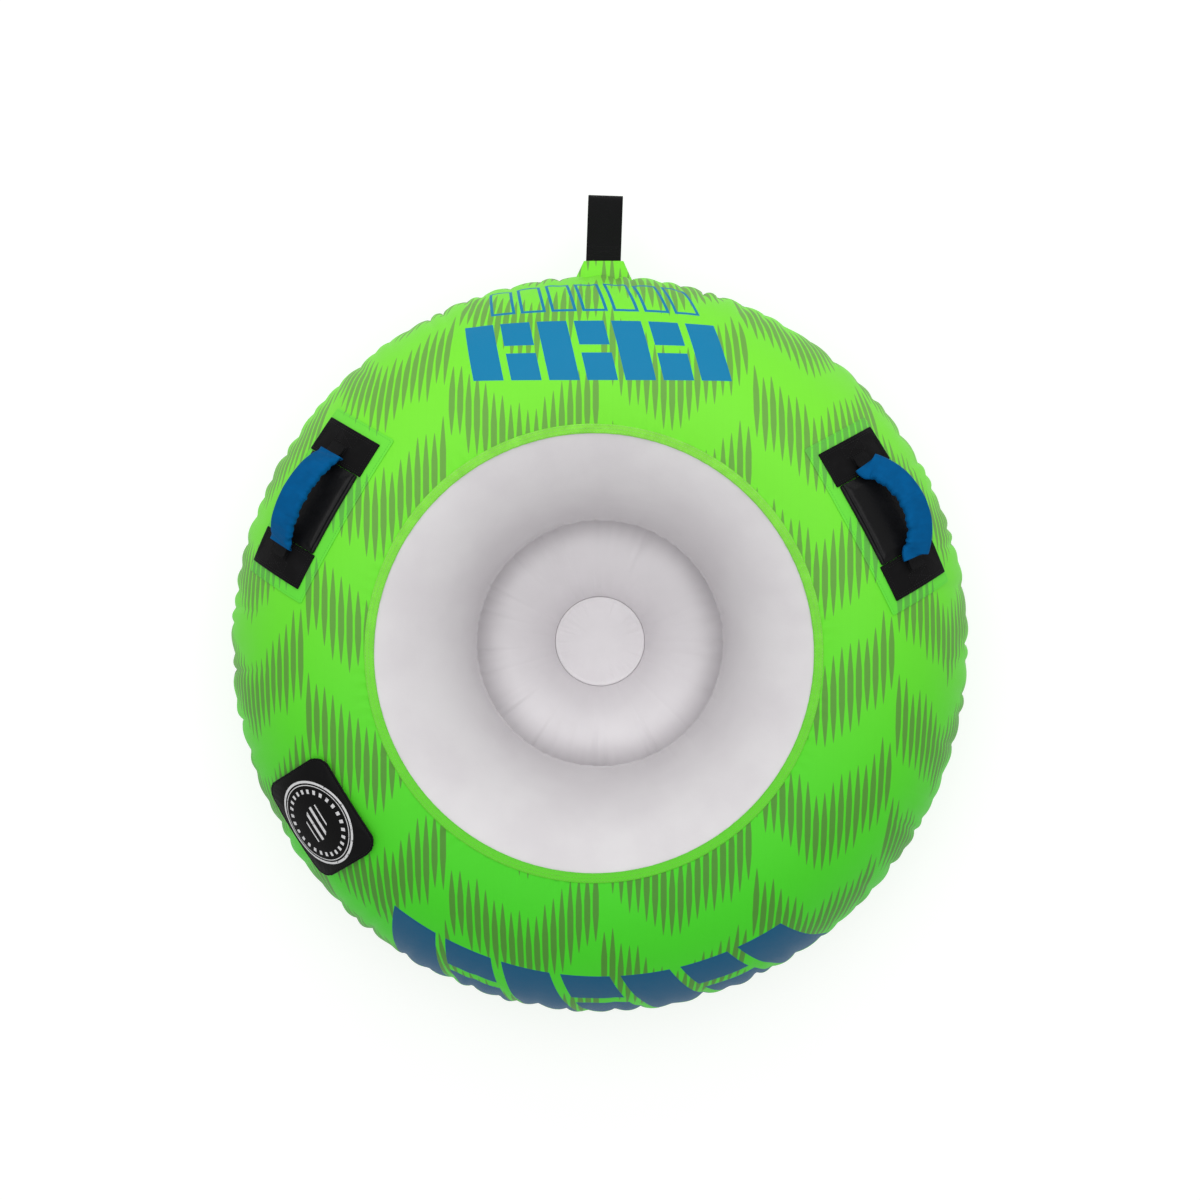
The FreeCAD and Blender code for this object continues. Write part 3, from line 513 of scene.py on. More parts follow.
def printed_nylon(name="printed_nylon", tint=0.0):
    """Green nylon with feathered strokes in rising and falling bands, and blocks of blue bars."""
    graph = Graph(name, roughness=0.55, specular_ior_level=0.22)
    u, v = graph.coordinates()
    pitch, cell_width, repeat = 0.0115, 0.2015, 0.172
    column = (u / pitch).floor()
    chance = graph.random(column)
    center = (column + 0.5) * pitch / cell_width
    cell = center.floor()
    rise = 1 - abs(center.fract() * 2 - 1)
    phase = v / repeat + rise * 0.47 + cell * 0.5 + chance * 0.07
    away = abs(phase.fract() - 0.5)
    other_chance = graph.random(column + 37.5)
    reach = 0.285 + other_chance * 0.09
    taper = graph.math("MAXIMUM", 1 - away / reach, 0).power(0.72)
    across = abs((u / pitch).fract() - 0.5)
    stroke = (graph.math("MINIMUM", taper * 0.46, 0.365) - across).step(-0.01, 0.02)
    bars = rows_of_bars(graph, u, v, (-0.098, 0.264), (0.360, 0.450), 7, 0.80, 0.22)
    slit = 1 - (abs(v - 0.405) < 0.006) * ((u + v * 0.22 + 0.098) / 0.1034).fract().step(0.49, 0.51)
    outlines = rows_of_bars(graph, u, v, (-0.056, 0.249), (0.468, 0.540), 7, 0.82, 0.22, 0.0044)
    radius = (u * u + v * v).power(0.5)
    along = graph.math("ARCTAN2", u, 0 - v) * 0.45
    arc = rows_of_bars(graph, along, radius, (-0.470, 0.105), (0.462, 0.588), 7, 0.82, -0.35)
    arc_part = ((along - radius * 0.35 + 0.470) / 0.1643).fract()
    arc_slit = 1 - (abs(radius - 0.522) < 0.008) * arc_part.step(0.49, 0.51)
    print_mask = bars * slit + outlines + arc * arc_slit * (v < 0)
    # every print colour goes from lit at the tow end to shaded at the rear: painted light and painted shade
    color = graph.mix(stroke, lit_to_shaded(graph, v, LIT_GREEN, SHADED_GREEN), lit_to_shaded(graph, v, LIT_STROKE, SHADED_STROKE))
    color = graph.mix(print_mask, color, lit_to_shaded(graph, v, LIT_BLUE, SHADED_BLUE))
    if tint:
        color = graph.mix(tint, color, (0.055, 0.60, 0.07))
    graph.color(color)
    height = weave(graph, u, v, 0.0009) * 0.25 + graph.noise(38, 4) * 0.8
    graph.bump(height, 0.0009, 0.55)
    graph.roughness(graph.noise(22, 3) * 0.14 + 0.47)
    return graph.material


def plain_fabric(name, color, shaded_color=None, pitch=0.0009, roughness=0.62, depth=0.0005, shine=0.2):
    """A one-colour woven cloth, a little uneven, in the object's own coordinates; a shaded colour darkens it towards
    -y, as painted shade.
    """
    graph = Graph(name, roughness=roughness, specular_ior_level=shine)
    x, y, z = graph.coordinates("Object")
    height = weave(graph, x + z, y - z, pitch)
    shade = graph.noise(60, 4).step(0.25, 0.8)
    darker = tuple(channel * 0.82 for channel in color)
    tone = graph.mix(shade, darker, color)
    # darker towards -y, lighter towards +y: painted shade and painted light, as on the print
    if shaded_color:
        tone = graph.mix(y.step(-0.36, 0.36), shaded_color, tone)
    graph.color(tone)
    graph.bump(height * 0.5 + graph.noise(45, 3) * 0.7, depth, 0.7)
    return graph.material


def vinyl(name, low, high):
    """Soft white PVC with a faint mottle."""
    graph = Graph(name, roughness=0.4, coat_weight=0.06, coat_roughness=0.35)
    graph.color(graph.mix(graph.noise(9, 4).step(0.3, 0.7), low, high))
    graph.bump(graph.noise(26, 4) * 0.9 + graph.noise(420, 2) * 0.06, 0.0012, 0.35)
    graph.roughness(graph.noise(30, 3) * 0.16 + 0.32)
    return graph.material


def neoprene(name, roughness, dimple=420, depth=0.0004, color=(0.0048, 0.0046, 0.0050), shine=0.08):
    """Black embossed neoprene, with paler rubbed spots."""
    graph = Graph(name, roughness=roughness, specular_ior_level=shine)
    worn = tuple(channel * 1.8 for channel in color)
    graph.color(graph.mix(graph.noise(35, 5).step(0.45, 0.85), color, worn))
    graph.bump(graph.cells(dimple) * 0.6 + graph.noise(70, 3) * 0.8, depth, 0.8)
    graph.roughness(graph.noise(90, 3) * 0.2 + (roughness - 0.1))
    return graph.material


def badge_flap():
    """The flap's neoprene with a round white print: rings, ticks and three bars."""
    graph = Graph("badge_flap", roughness=0.55, specular_ior_level=0.08)
    x, y = graph.coordinates()
    x, y = x - 0.001, y - 0.003
    radius = ((x / 0.063).power(2.0) + (y / 0.053).power(2.0)).power(0.5)
    turn = graph.math("ARCTAN2", y / 0.048, x / 0.060)
    outer_ring = (radius > 0.945) * (radius < 1.0)
    inner_ring = (radius > 0.885) * (radius < 0.905)
    ticks = (radius > 0.70) * (radius < 0.80) * ((turn * (26 / TURN)).fract() < 0.42)
    stripes = (abs((y / 0.0105).fract() - 0.5) < 0.20) * (abs(y) < 0.0157)
    bars = stripes * (abs(x + y * 0.5) < 0.024 - abs(y) * 0.55)
    ink = outer_ring + inner_ring + ticks + bars
    worn = ink * graph.noise(300, 3).step(0.25, 0.42)
    graph.color(graph.mix(worn, (0.0045, 0.0045, 0.0048), (0.62, 0.62, 0.63)))
    graph.bump(graph.cells(420) * 0.5 + graph.noise(60, 3) * 0.8 + ink * 0.25, 0.0004, 0.8)
    return graph.material


def webbing_material(name, color):
    """Woven strap: herringbone ribs along its UV length, their crests painted lighter as painted highlight."""
    graph = Graph(name, roughness=0.6, specular_ior_level=0.1)
    u, v = graph.coordinates()
    zigzag = abs((v / 0.0055).fract() - 0.5)
    ribs = ((u / 0.0021) + zigzag * 1.6).fract()
    height = abs(ribs - 0.5) * 2
    crest_highlight = tuple(channel * 2.2 for channel in color)
    # rib crests lighter and grooves darker: painted highlight and painted shade
    graph.color(graph.mix(height.step(0.3, 1.0) * 0.6, color, crest_highlight))
    graph.bump(height, 0.0006, 0.8)
    return graph.material


def moulded(name, color, roughness=0.35):
    graph = Graph(name, color, roughness)
    graph.color(graph.mix(graph.noise(80, 4).step(0.3, 0.8), color, tuple(c * 1.25 for c in color)))
    graph.bump(graph.noise(900, 3), 0.0001, 0.5)
    graph.roughness(graph.noise(120, 4) * 0.2 + (roughness - 0.1))
    return graph.material


def plated_metal():
    graph = Graph("plated_metal", (0.42, 0.42, 0.43), 0.3, metallic=1.0)
    graph.color(graph.mix(graph.noise(160, 4).step(0.3, 0.8), (0.30, 0.30, 0.31), (0.5, 0.5, 0.51)))
    graph.roughness(graph.noise(300, 3) * 0.3 + 0.18)
    graph.bump(graph.noise(700, 2), 0.0001, 0.4)
    return graph.material


def hook_tape():
    graph = Graph("hook_tape", (0.014, 0.014, 0.015), 0.8)
    graph.color(graph.mix(graph.cells(900).step(0.2, 0.6), (0.03, 0.03, 0.032), (0.008, 0.008, 0.009)))
    graph.bump(graph.cells(900), 0.0008, 1.0)
    return graph.material


PRINT = printed_nylon()
PRINT_PATCH = printed_nylon("printed_patch", 0.30)
# the second colour of a cloth is its shaded copy towards -y: painted shade
GREEN_CLOTH = plain_fabric("green_nylon", (0.115, 0.68, 0.045), (0.05, 0.52, 0.02))
HEM_CLOTH = plain_fabric("hem_binding", (0.27, 0.82, 0.07), (0.11, 0.60, 0.025), pitch=0.0013)
HEM_THREAD = plain_fabric("hem_thread", (0.38, 0.80, 0.20), (0.20, 0.60, 0.08), pitch=0.0005)
BLACK_CLOTH = plain_fabric("black_nylon", (0.010, 0.010, 0.011))
PATCH_THREAD = plain_fabric("patch_thread", (0.12, 0.68, 0.06), (0.06, 0.52, 0.03), pitch=0.0005)
BLACK_THREAD = plain_fabric("black_thread", (0.012, 0.012, 0.013), pitch=0.0005)
GRIP_CLOTH = plain_fabric("blue_grip", (0.0, 0.10, 0.29), pitch=0.0011, roughness=0.75, depth=0.0007, shine=0.06)
TAPE_CLOTH = plain_fabric("zipper_tape", (0.015, 0.015, 0.016), pitch=0.0007)
VINYL = vinyl("white_vinyl", (0.63, 0.605, 0.625), (0.675, 0.655, 0.67))
# a lighter copy of the white PVC for the floor deep in the well: painted light
LIT_FLOOR_VINYL = vinyl("lit_floor_vinyl", (0.73, 0.705, 0.725), (0.78, 0.755, 0.775))
PATCH_NEOPRENE = neoprene("patch_neoprene", 0.62)
PAD_NEOPRENE = neoprene("pad_neoprene", 0.36, 300, 0.0003, (0.0040, 0.0040, 0.0044), 0.16)
BADGE = badge_flap()
WEBBING = webbing_material("black_webbing", (0.0048, 0.0048, 0.0052))
VALVE_PLASTIC = moulded("valve_plastic", (0.02, 0.02, 0.022))
TEETH_PLASTIC = moulded("zipper_teeth", (0.018, 0.018, 0.02), 0.3)
VALVE_RUBBER = moulded("valve_rubber", (0.5, 0.5, 0.5), 0.5)
METAL = plated_metal()
HOOK_TAPE = hook_tape()


# ---------------------------------------------------------------- the cover
COLUMNS = 960
AROUND = np.linspace(0, TURN, COLUMNS, endpoint=False)
THREAD_AROUND = np.linspace(0, TURN, COLUMNS * 2)
CLOTH = 0.0011  # thickness


def flat_uv(azimuth, angle):
    """The cloth laid flat, seen from above: metres from the ring's axis."""
    return polar(azimuth, RING + TUBE * (TURN / 4 - np.abs(angle)))[..., :2]


def cover_height(azimuth, angle):
    """The cloth's own shape: gathers from the outer seam, broad waves and a swell along it, and a little slack."""
    distance = TUBE * np.abs(angle)
    flat = flat_uv(azimuth, angle)
    slack = soft_noise(flat, 0.11, 3) * 0.0005 + soft_noise(flat, 0.04, 4) * 0.0002
    broad = (waves(azimuth, 38, 11) - 0.6) * 0.0012 * hill(distance, 0.10)
    swell = 0.0022 * hill(distance, 0.045)
    return slack - 0.0007 + broad + swell - 0.0064 * gathers(azimuth, distance, 96, 5)


def top_height(azimuth, angle):
    """The upper panel's shape: flat under the hem, with small puckers beside it."""
    from_hem = TUBE * (opening_angle(azimuth) - angle)
    puckers = waves(azimuth, 95, 21) * 0.0006 * hill(from_hem - HEM_WIDTH, 0.014)
    return cover_height(azimuth, angle) * smooth_step(from_hem, 0.005, 0.03) + puckers


share = np.linspace(0, 1, 68)
share = share - 0.10 * np.sin(TURN * share) / TURN * 2  # rows lie closer near both edges
opening = opening_angle(AROUND)
angle = share[:, None] * (opening - 0.0016 / TUBE)[None]
azimuth = np.broadcast_to(AROUND, angle.shape)
cover_top = grid(
    "cover_top", ring_points(azimuth, angle, top_height(azimuth, angle)), flat_uv(azimuth, angle), wrap_columns=True
)
thicken(cover_top, CLOTH)
finish(cover_top, "tube", "printed_nylon", PRINT, "cover_top_panel")

angle = -(np.linspace(0, 1, 44) ** 1.25)[:, None] * np.full(COLUMNS, TURN / 4 - 0.004)[None]
azimuth = np.broadcast_to(AROUND, angle.shape)
lower_height = cover_height(azimuth, angle) * smooth_step(-angle, 1.5, 1.3) - 0.0002
cover_lower = grid("cover_lower", ring_points(azimuth, angle, lower_height), flat_uv(azimuth, angle), wrap_columns=True)
thicken(cover_lower, CLOTH)
finish(cover_lower, "tube", "green_nylon", GREEN_CLOTH, "cover_lower_band")

BASE_LOW, BASE_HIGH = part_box("base_panel")
reach = np.append(np.linspace(0.001, BASE_HIGH.x - 0.006, 40), np.linspace(BASE_HIGH.x - 0.004, BASE_HIGH.x, 4))
azimuth, reach = np.meshgrid(np.linspace(0, TURN, 240, endpoint=False), reach)
points = polar(azimuth, reach)
ripple = 0.0002 * waves(azimuth, 60, 32) * smooth_step(reach, 0.27, 0.34)
points[..., 2] = 0.0004 + 0.0003 * soft_noise(points, 0.05, 31) + ripple
base_sheet = grid("base_sheet", points, points[..., :2], wrap_columns=True)
close_loops(base_sheet, range(240))
thicken(base_sheet, 0.0007, 1.0)
finish(base_sheet, "tube", "black_nylon", BLACK_CLOTH, "base_panel")
turn = np.linspace(0, TURN, 720)
down = np.broadcast_to([0.0, 0.0, -1.0], (720, 3))
lines = [(polar(turn, BASE_HIGH.x - inset, 0.0003), down) for inset in (0.004, 0.010)]
sew("base_stitching", "tube", "black_nylon", BLACK_THREAD, lines, 0.0034, 0.0014)

EDGE_TAPE = [(-0.0115, 0.0002), (-0.0115, 0.0009), (-0.006, 0.0012), (-0.001, 0.0016)]
EDGE_TAPE += [(0.0010, 0.0012), (0.0008, 0.0002)]
seam_tape = band("seam_tape", AROUND, 0.0, EDGE_TAPE, lambda azimuth, angle: cover_height(azimuth, angle) - 0.0003)
finish(seam_tape, "tube", "black_nylon", BLACK_CLOTH, "equator_seam_tape")


def ring_line(azimuth, angle, height, offset=None):
    """A line along the ring for stitches, and the directions straight out of the cover along it."""
    angle = np.broadcast_to(angle, azimuth.shape)
    if offset:
        height = height + offset(azimuth, angle)
    outward = ring_points(azimuth, angle, 1.0) - ring_points(azimuth, angle, 0.0)
    return ring_points(azimuth, angle, height), outward


lines = [ring_line(THREAD_AROUND, -distance / TUBE, 0.0008, cover_height) for distance in (0.0022, 0.0092)]
sew("seam_stitching", "tube", "black_nylon", BLACK_THREAD, lines, 0.003, 0.0016)

# the hem is a strip folded over the opening's edge, with three rows of stitches


def hem_height(azimuth, angle):
    return waves(azimuth, 110, 41) * 0.00035 + waves(azimuth, 30, 42) * 0.0002


HEM_SECTION = [(-0.0133, -0.0002), (-0.0134, 0.0006), (-0.0128, 0.0011), (-0.0105, 0.0014)]
HEM_SECTION += [(-0.0065, 0.0013), (-0.0025, 0.0014), (-0.0006, 0.0011), (0.0002, 0.0004)]
HEM_SECTION += [(0.0003, -0.0004), (-0.0003, -0.0010), (-0.0025, -0.0012), (-0.0110, -0.0010)]
hem = band("hem", AROUND, opening_angle(AROUND), HEM_SECTION, hem_height)
finish(hem, "tube", "hem_binding", HEM_CLOTH, "opening_hem")
insets = (0.0022, 0.0068, 0.0112)
lines = [ring_line(THREAD_AROUND, opening_angle(THREAD_AROUND, inset), 0.0013, hem_height) for inset in insets]
sew("hem_stitching", "tube", "hem_binding", HEM_THREAD, lines, 0.0030, 0.0012, 0.0009, 0.0006)

# ---------------------------------------------------------------- the bladder
WELD_CREASES = 58


def bladder_height(azimuth, angle):
    """Creases along the inner weld, faint folds from under the hem, and less swell where the cover hides it."""
    from_weld = TUBE * np.abs(angle - TURN / 2)
    creases = gathers(azimuth, from_weld * 1.9, WELD_CREASES, 51) * 0.0016
    from_opening = TUBE * (angle - opening_angle(azimuth))
    folds = waves(azimuth, 44, 52) * 0.0004 * hill(from_opening, 0.05)
    hidden = 1 - smooth_step(from_opening, -0.03, -0.004) * smooth_step(TURN * 0.72 - angle, -0.02, 0.1)
    swell = soft_noise(flat_uv(azimuth, angle - TURN / 4), 0.12, 53) * 0.0005
    return folds + swell - creases - hidden * 0.0070


bladder_angle = np.linspace(0, TURN, 150, endpoint=False)
bladder_angle = bladder_angle + 0.32 * np.sin(2 * bladder_angle) / 2  # rows lie closer by the welds
angle = (bladder_angle - TURN / 4)[:, None] + np.zeros(COLUMNS)[None]
azimuth = np.broadcast_to(AROUND, angle.shape)
bladder = grid(
    "bladder_tube",
    ring_points(azimuth, angle, BLADDER - TUBE + bladder_height(azimuth, angle)),
    flat_uv(azimuth, angle - TURN / 4),
    wrap_rows=True,
    wrap_columns=True,
)
finish(bladder, "tube", "white_pvc", VINYL, "bladder_ring")


def weld_height(azimuth, angle):
    return BLADDER - TUBE - gathers(azimuth, np.zeros_like(azimuth), WELD_CREASES, 51) * 0.0016


WELD = [(-0.0036, -0.0006), (-0.0034, 0.0003), (-0.0020, 0.0008), (0.0020, 0.0008), (0.0034, 0.0003), (0.0036, -0.0006)]
inner_weld = band("inner_weld", AROUND, TURN / 2, WELD, weld_height)
finish(inner_weld, "tube", "white_pvc", VINYL, "bladder_inner_weld")

WELD_LOW, WELD_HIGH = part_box("bladder_floor_weld")
weld_middle = (WELD_LOW.z + WELD_HIGH.z) / 2 - MIDDLE
FLOOR_WELD_ANGLE = TURN / 2 + math.asin(-weld_middle / (BLADDER + 0.002))
HALF_FLOOR_WELD = [(0.0020, 0.0040), (0.0044, 0.0028), (0.0044, -0.0010)]
FLOOR_WELD = [(-x, y) for x, y in reversed(HALF_FLOOR_WELD)] + HALF_FLOOR_WELD
floor_weld = band(
    "floor_weld", AROUND[::2], FLOOR_WELD_ANGLE, FLOOR_WELD, lambda a, g: BLADDER - TUBE + waves(a, 60, 61) * 0.0004
)
finish(floor_weld, "tube", "white_pvc", VINYL, "bladder_floor_weld")


# ---------------------------------------------------------------- the floor
def arc(start, end, radius, steps):
    """Points of a circle's arc, that bulges to the left of the way from start to end."""
    start, end = np.array(start), np.array(end)
    half = (end - start) / 2
    chord = np.linalg.norm(half)
    left = np.array([-half[1], half[0]]) / chord
    center = start + half - left * math.sqrt(radius**2 - chord**2)
    spread = math.asin(chord / radius)
    turns = np.linspace(spread, -spread, steps)
    return center + radius * (np.cos(turns)[:, None] * left - np.sin(turns)[:, None] * half / chord)


FLOOR_LOW, FLOOR_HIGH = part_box("floor_cushion")
SPOT_LOW, SPOT_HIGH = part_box("floor_center_disc")
inner, outer = SPOT_HIGH.x + 0.0003, FLOOR_HIGH.x - 0.0003
upper = arc((inner, SPOT_LOW.z + 0.0026), (outer, 0.0516), 0.092, 60)
lower = arc((outer, 0.0484), (inner, SPOT_LOW.z - 0.0006), 0.121, 40)
outline = np.concatenate([upper, lower])
floor_around = np.linspace(0, TURN, 720, endpoint=False)
reach = outline[:, :1] + 0 * floor_around[None]
height = outline[:, 1:] + 0 * floor_around[None]
azimuth = np.broadcast_to(floor_around, reach.shape)
is_top = (np.arange(len(outline)) < len(upper))[:, None]
near_spot, near_wall = np.abs(reach - inner), np.abs(outer - reach)
spot_folds = gathers(azimuth, near_spot * 2.2, 34, 71) * 0.0014
wall_folds = gathers(azimuth, near_wall * 1.3, 58, 72) * 0.0042 * smooth_step(near_wall, 0, 0.006)
dips = (soft_noise(polar(azimuth, reach), 0.07, 73) - 0.6) * 0.0011
folds = dips - spot_folds - wall_folds
height = height + np.where(is_top, folds, -0.35 * folds) * smooth_step(near_spot, 0, 0.004)
points = polar(azimuth, reach, height)
cushion = grid("floor_cushion_skin", points, points[..., :2], wrap_rows=True, wrap_columns=True)
finish(cushion, "tube", "white_pvc", LIT_FLOOR_VINYL, "floor_cushion")

SPOT_PROFILE = np.concatenate(
    [
        [(0.0005, SPOT_LOW.z), (SPOT_HIGH.x - 0.0005, SPOT_LOW.z), (SPOT_HIGH.x, SPOT_LOW.z + 0.001)],
        [(SPOT_HIGH.x, SPOT_LOW.z + 0.0022), (SPOT_HIGH.x - 0.0008, SPOT_LOW.z + 0.0034)],
        [(SPOT_HIGH.x - 0.0035, SPOT_LOW.z + 0.0036), (SPOT_HIGH.x - 0.0050, SPOT_LOW.z + 0.0027)],
        arc((0.0005, SPOT_HIGH.z), (SPOT_HIGH.x - 0.0065, SPOT_LOW.z + 0.0029), 0.33, 24)[::-1],
    ]
)
reach = SPOT_PROFILE[:, :1] + 0 * floor_around[None, ::2]
azimuth = np.broadcast_to(floor_around[::2], reach.shape)
ripple = gathers(azimuth, np.abs(SPOT_HIGH.x - reach) * 3, 40, 81) * 0.0007
height = SPOT_PROFILE[:, 1:] - ripple * (SPOT_PROFILE[:, 1:] > SPOT_LOW.z + 0.0025)
points = polar(azimuth, reach, height)
spot = grid("floor_spot", points, points[..., :2], wrap_columns=True)
close_loops(spot, range(360), range((len(SPOT_PROFILE) - 1) * 360, len(SPOT_PROFILE) * 360))
finish(spot, "tube", "white_pvc", LIT_FLOOR_VINYL, "floor_center_disc")


# ---------------------------------------------------------------- pads and patches
def local_pad(x_range, y_range, low, high, corner, edge=0.0014, columns=48, rows=36):
    """A closed rounded slab in a flat frame: its vertices and faces."""
    half_x, half_y = np.ptp(x_range) / 2, np.ptp(y_range) / 2
    start = edge * np.array([0, 0.12, 0.45, 1.0])

    def spaced(half, count):
        inside = np.linspace(-half + edge * 1.8, half - edge * 1.8, count)
        return np.concatenate([-half + start, inside, (half - start)[::-1]])

    x, y = np.meshgrid(spaced(half_x, columns), spaced(half_y, rows))
    beyond = np.maximum(np.abs(y) - (half_y - corner), 0)
    limit = half_x - corner + np.sqrt(np.maximum(corner**2 - beyond**2, 0))
    x = x * limit / half_x
    inset = np.minimum(limit - np.abs(x), half_y - np.abs(y))
    rise = np.sqrt(np.maximum(1 - (1 - np.clip(inset / edge, 0, 1)) ** 2, 0))
    x, y = x + sum(x_range) / 2, y + sum(y_range) / 2
    top, bottom = (np.stack([x, y, (low + high + (high - low) * rise * way) / 2], -1) for way in (1, -1))
    index = np.arange(x.size).reshape(x.shape)
    quads = np.stack([index[:-1, :-1], index[:-1, 1:], index[1:, 1:], index[1:, :-1]], -1).reshape(-1, 4)
    rim = np.zeros(x.shape, bool)
    rim[0], rim[-1], rim[:, 0], rim[:, -1] = True, True, True, True
    low_index = np.where(rim, index, 0)
    low_index[~rim] = x.size + np.arange((~rim).sum())
    low_quads = low_index.reshape(-1)[quads][:, ::-1]
    vertices = np.concatenate([top.reshape(-1, 3), bottom[~rim]])
    return vertices, np.concatenate([quads, low_quads])


def inflate(vertices, faces, voxel, reach, fixed_below):
    """Swells a pad as cloth under pressure, with its underside held and no point moved further than reach."""
    pad = modify(new_object("pad", vertices, faces), "REMESH", mode="VOXEL", voxel_size=voxel)
    start, faces = mesh_arrays(pad)
    moved = start.copy()
    held = pad.vertex_groups.new(name="held")
    held.add([int(i) for i in np.flatnonzero(start[:, 2] < fixed_below)], 1.0, "REPLACE")
    cloth = pad.modifiers.new("Cloth", "CLOTH")
    cloth.settings.vertex_group_mass = "held"
    cloth.settings.use_pressure = True
    cloth.settings.uniform_pressure_force = 4
    cloth.settings.effector_weights.gravity = 0
    cloth.settings.tension_stiffness = cloth.settings.compression_stiffness = 12
    for frame_number in range(1, 21):
        bpy.context.scene.frame_set(frame_number)
    swollen = pad.evaluated_get(bpy.context.evaluated_depsgraph_get()).to_mesh()
    swollen.vertices.foreach_get("co", flat := np.empty(len(start) * 3))
    step = flat.reshape(-1, 3) - start
    size = np.linalg.norm(step, axis=1, keepdims=True)
    moved = start + step * np.minimum(1, reach / np.maximum(size, 1e-9))
    pad.modifiers.clear()
    bpy.context.scene.frame_set(1)
    bpy.data.objects.remove(pad)
    smooth = modify(new_object("pad", moved, faces), "SUBSURF", levels=1)
    result = mesh_arrays(smooth)
    bpy.data.objects.remove(smooth)
    return result


def laid(name, place, vertices, faces):
    """A piece from a flat shape: local x and y on the cover, local z the height over it."""
    piece = new_object(name, place.on_cover(vertices, vertices[:, 2]), faces)
    set_uv(piece, vertices[:, :2])
    return piece


def outline_path(x_range, y_range, corner, inset, count=400):
    """A closed rounded rectangle, inset from its edges."""
    width, height = np.ptp(x_range) - 2 * inset, np.ptp(y_range) - 2 * inset
    shape = rounded_section(width, height, max(corner - inset, 0.001), 8)
    shape = np.concatenate([shape, shape[:1]]) + [sum(x_range) / 2, sum(y_range) / 2]
    return evenly(shape, count)


def evenly(path, count):
    """A path as points that lie equally far apart along it."""
    along = lengths_along(path)
    at = np.linspace(0, along[-1], count)
    return np.stack([np.interp(at, along, values) for values in path.T], -1)


def on_place(place, path, height):
    """A stitch line on the cover, from a local path."""
    points = place.on_cover(path, height)
    return points, place.on_cover(path, height + 0.001) - points


def straight(start, end, count=40):
    return np.linspace(start, end, count)


# ---------------------------------------------------------------- handles
SWING_HEIGHT = 0.0076
ARCH_RADIUS, ARCH_HEIGHT = 0.089, 0.042
PAD_X, PAD_Y = (-0.0617, 0.0617), (-0.044, 0.0485)
BACKING_X, BACKING_Y = (-0.128, 0.128), (-0.054, 0.062)
PATCH_X, PATCH_Y = (0.0612, 0.113), (-0.050, 0.050)  # the patch at the first end; the second end mirrors it
PAD_FOLD, PAD_ROLL, PAD_LOW_SEAM = 0.0413, 0.0450, -0.0405  # local y


def grip_center(turn, lean):
    """The grip's middle line in the handle's frame, at an angle along its arc, leaning to one side."""
    rise = ARCH_HEIGHT - SWING_HEIGHT - ARCH_RADIUS * (1 - np.cos(turn))
    return np.stack(
        [ARCH_RADIUS * np.sin(turn), -rise * math.sin(lean), SWING_HEIGHT + rise * math.cos(lean)], -1
    )


def crossways(center, up, side):
    """The two cross directions along a path: over it, and nearest to up."""
    tangent = unit(np.gradient(center, axis=0))
    across = unit(np.cross(up, tangent)) * side
    return across, np.cross(tangent, across) * side


def sweep_on(name, place, center, across, up, section):
    """A sweep whose path and directions are local to a place."""
    return sweep(name, place.points(center), across @ place.axes, up @ place.axes, section)


def grip_half(name, place, side, lean, face_lean, seed):
    """Half of the padded sleeve: a strip of neoprene, bunched up on the inside of its bend."""
    center = grip_center(np.linspace(0, math.radians(43), 66), lean)
    last_point = np.array([0.0715, 0.0, 0.0110])
    step_in = np.linspace(0, 1, 13)[1:, None]
    handle_one = center[-1] + unit(center[-1] - center[-2]) * 0.005
    handle_two = last_point - [0.0040, 0, -0.0002]
    bezier = (
        center[-1] * (1 - step_in) ** 3
        + 3 * handle_one * step_in * (1 - step_in) ** 2
        + 3 * handle_two * step_in**2 * (1 - step_in)
        + last_point * step_in**3
    )
    center = np.concatenate([center, bezier]) * [side, 1, 1]
    along = np.abs(center[:, 0])
    tilt = face_lean * (1 - smooth_step(along, 0.030, 0.066))
    across, up = crossways(center, np.stack([0 * tilt, -np.sin(tilt), np.cos(tilt)], -1), side)
    random = np.random.default_rng(seed)
    phase = np.cumsum(random.uniform(0.2, 1.8, len(center))) * TURN / 11
    strength = 0.4 + 0.8 * random.random(len(center) // 8 + 2)
    rings = []
    for i in range(len(center)):
        last = smooth_step(along[i], 0.056, 0.069)
        part, place_in = divmod(i, 8)
        force = strength[part] + (strength[part + 1] - strength[part]) * place_in / 8
        section = rounded_section(0.0365 + 0.002 * last, 0.0150 - 0.0045 * last, 0.0052, 6)
        inside = smooth_step(section[:, 0], 0.002, 0.018)
        bunch = math.sin(phase[i]) * 0.0008 + math.sin(phase[i] * 0.43 + 1) * 0.0009
        section[:, 0] += inside * bunch * force + inside * last * 0.0030
        thinner = math.sin(phase[i] + 1.2) * 0.0005 * force - 0.0014
        section[:, 1] += inside * np.sign(section[:, 1]) * thinner
        spots = np.stack(np.broadcast_arrays(section[:, 0] * 0.6, along[i]), -1)
        section[:, 1] += soft_noise(spots, 0.014, seed + 9) * 0.0005
        rings.append(section)
    # the end is a turned cuff, open round the strap
    rings += [rings[-1] * [0.95, 0.80], rings[-1] * [0.93, 0.72]]
    order = [*range(len(center)), -1, -6]
    return sweep_on(name, place, center[order], across[order], up[order], np.array(rings))


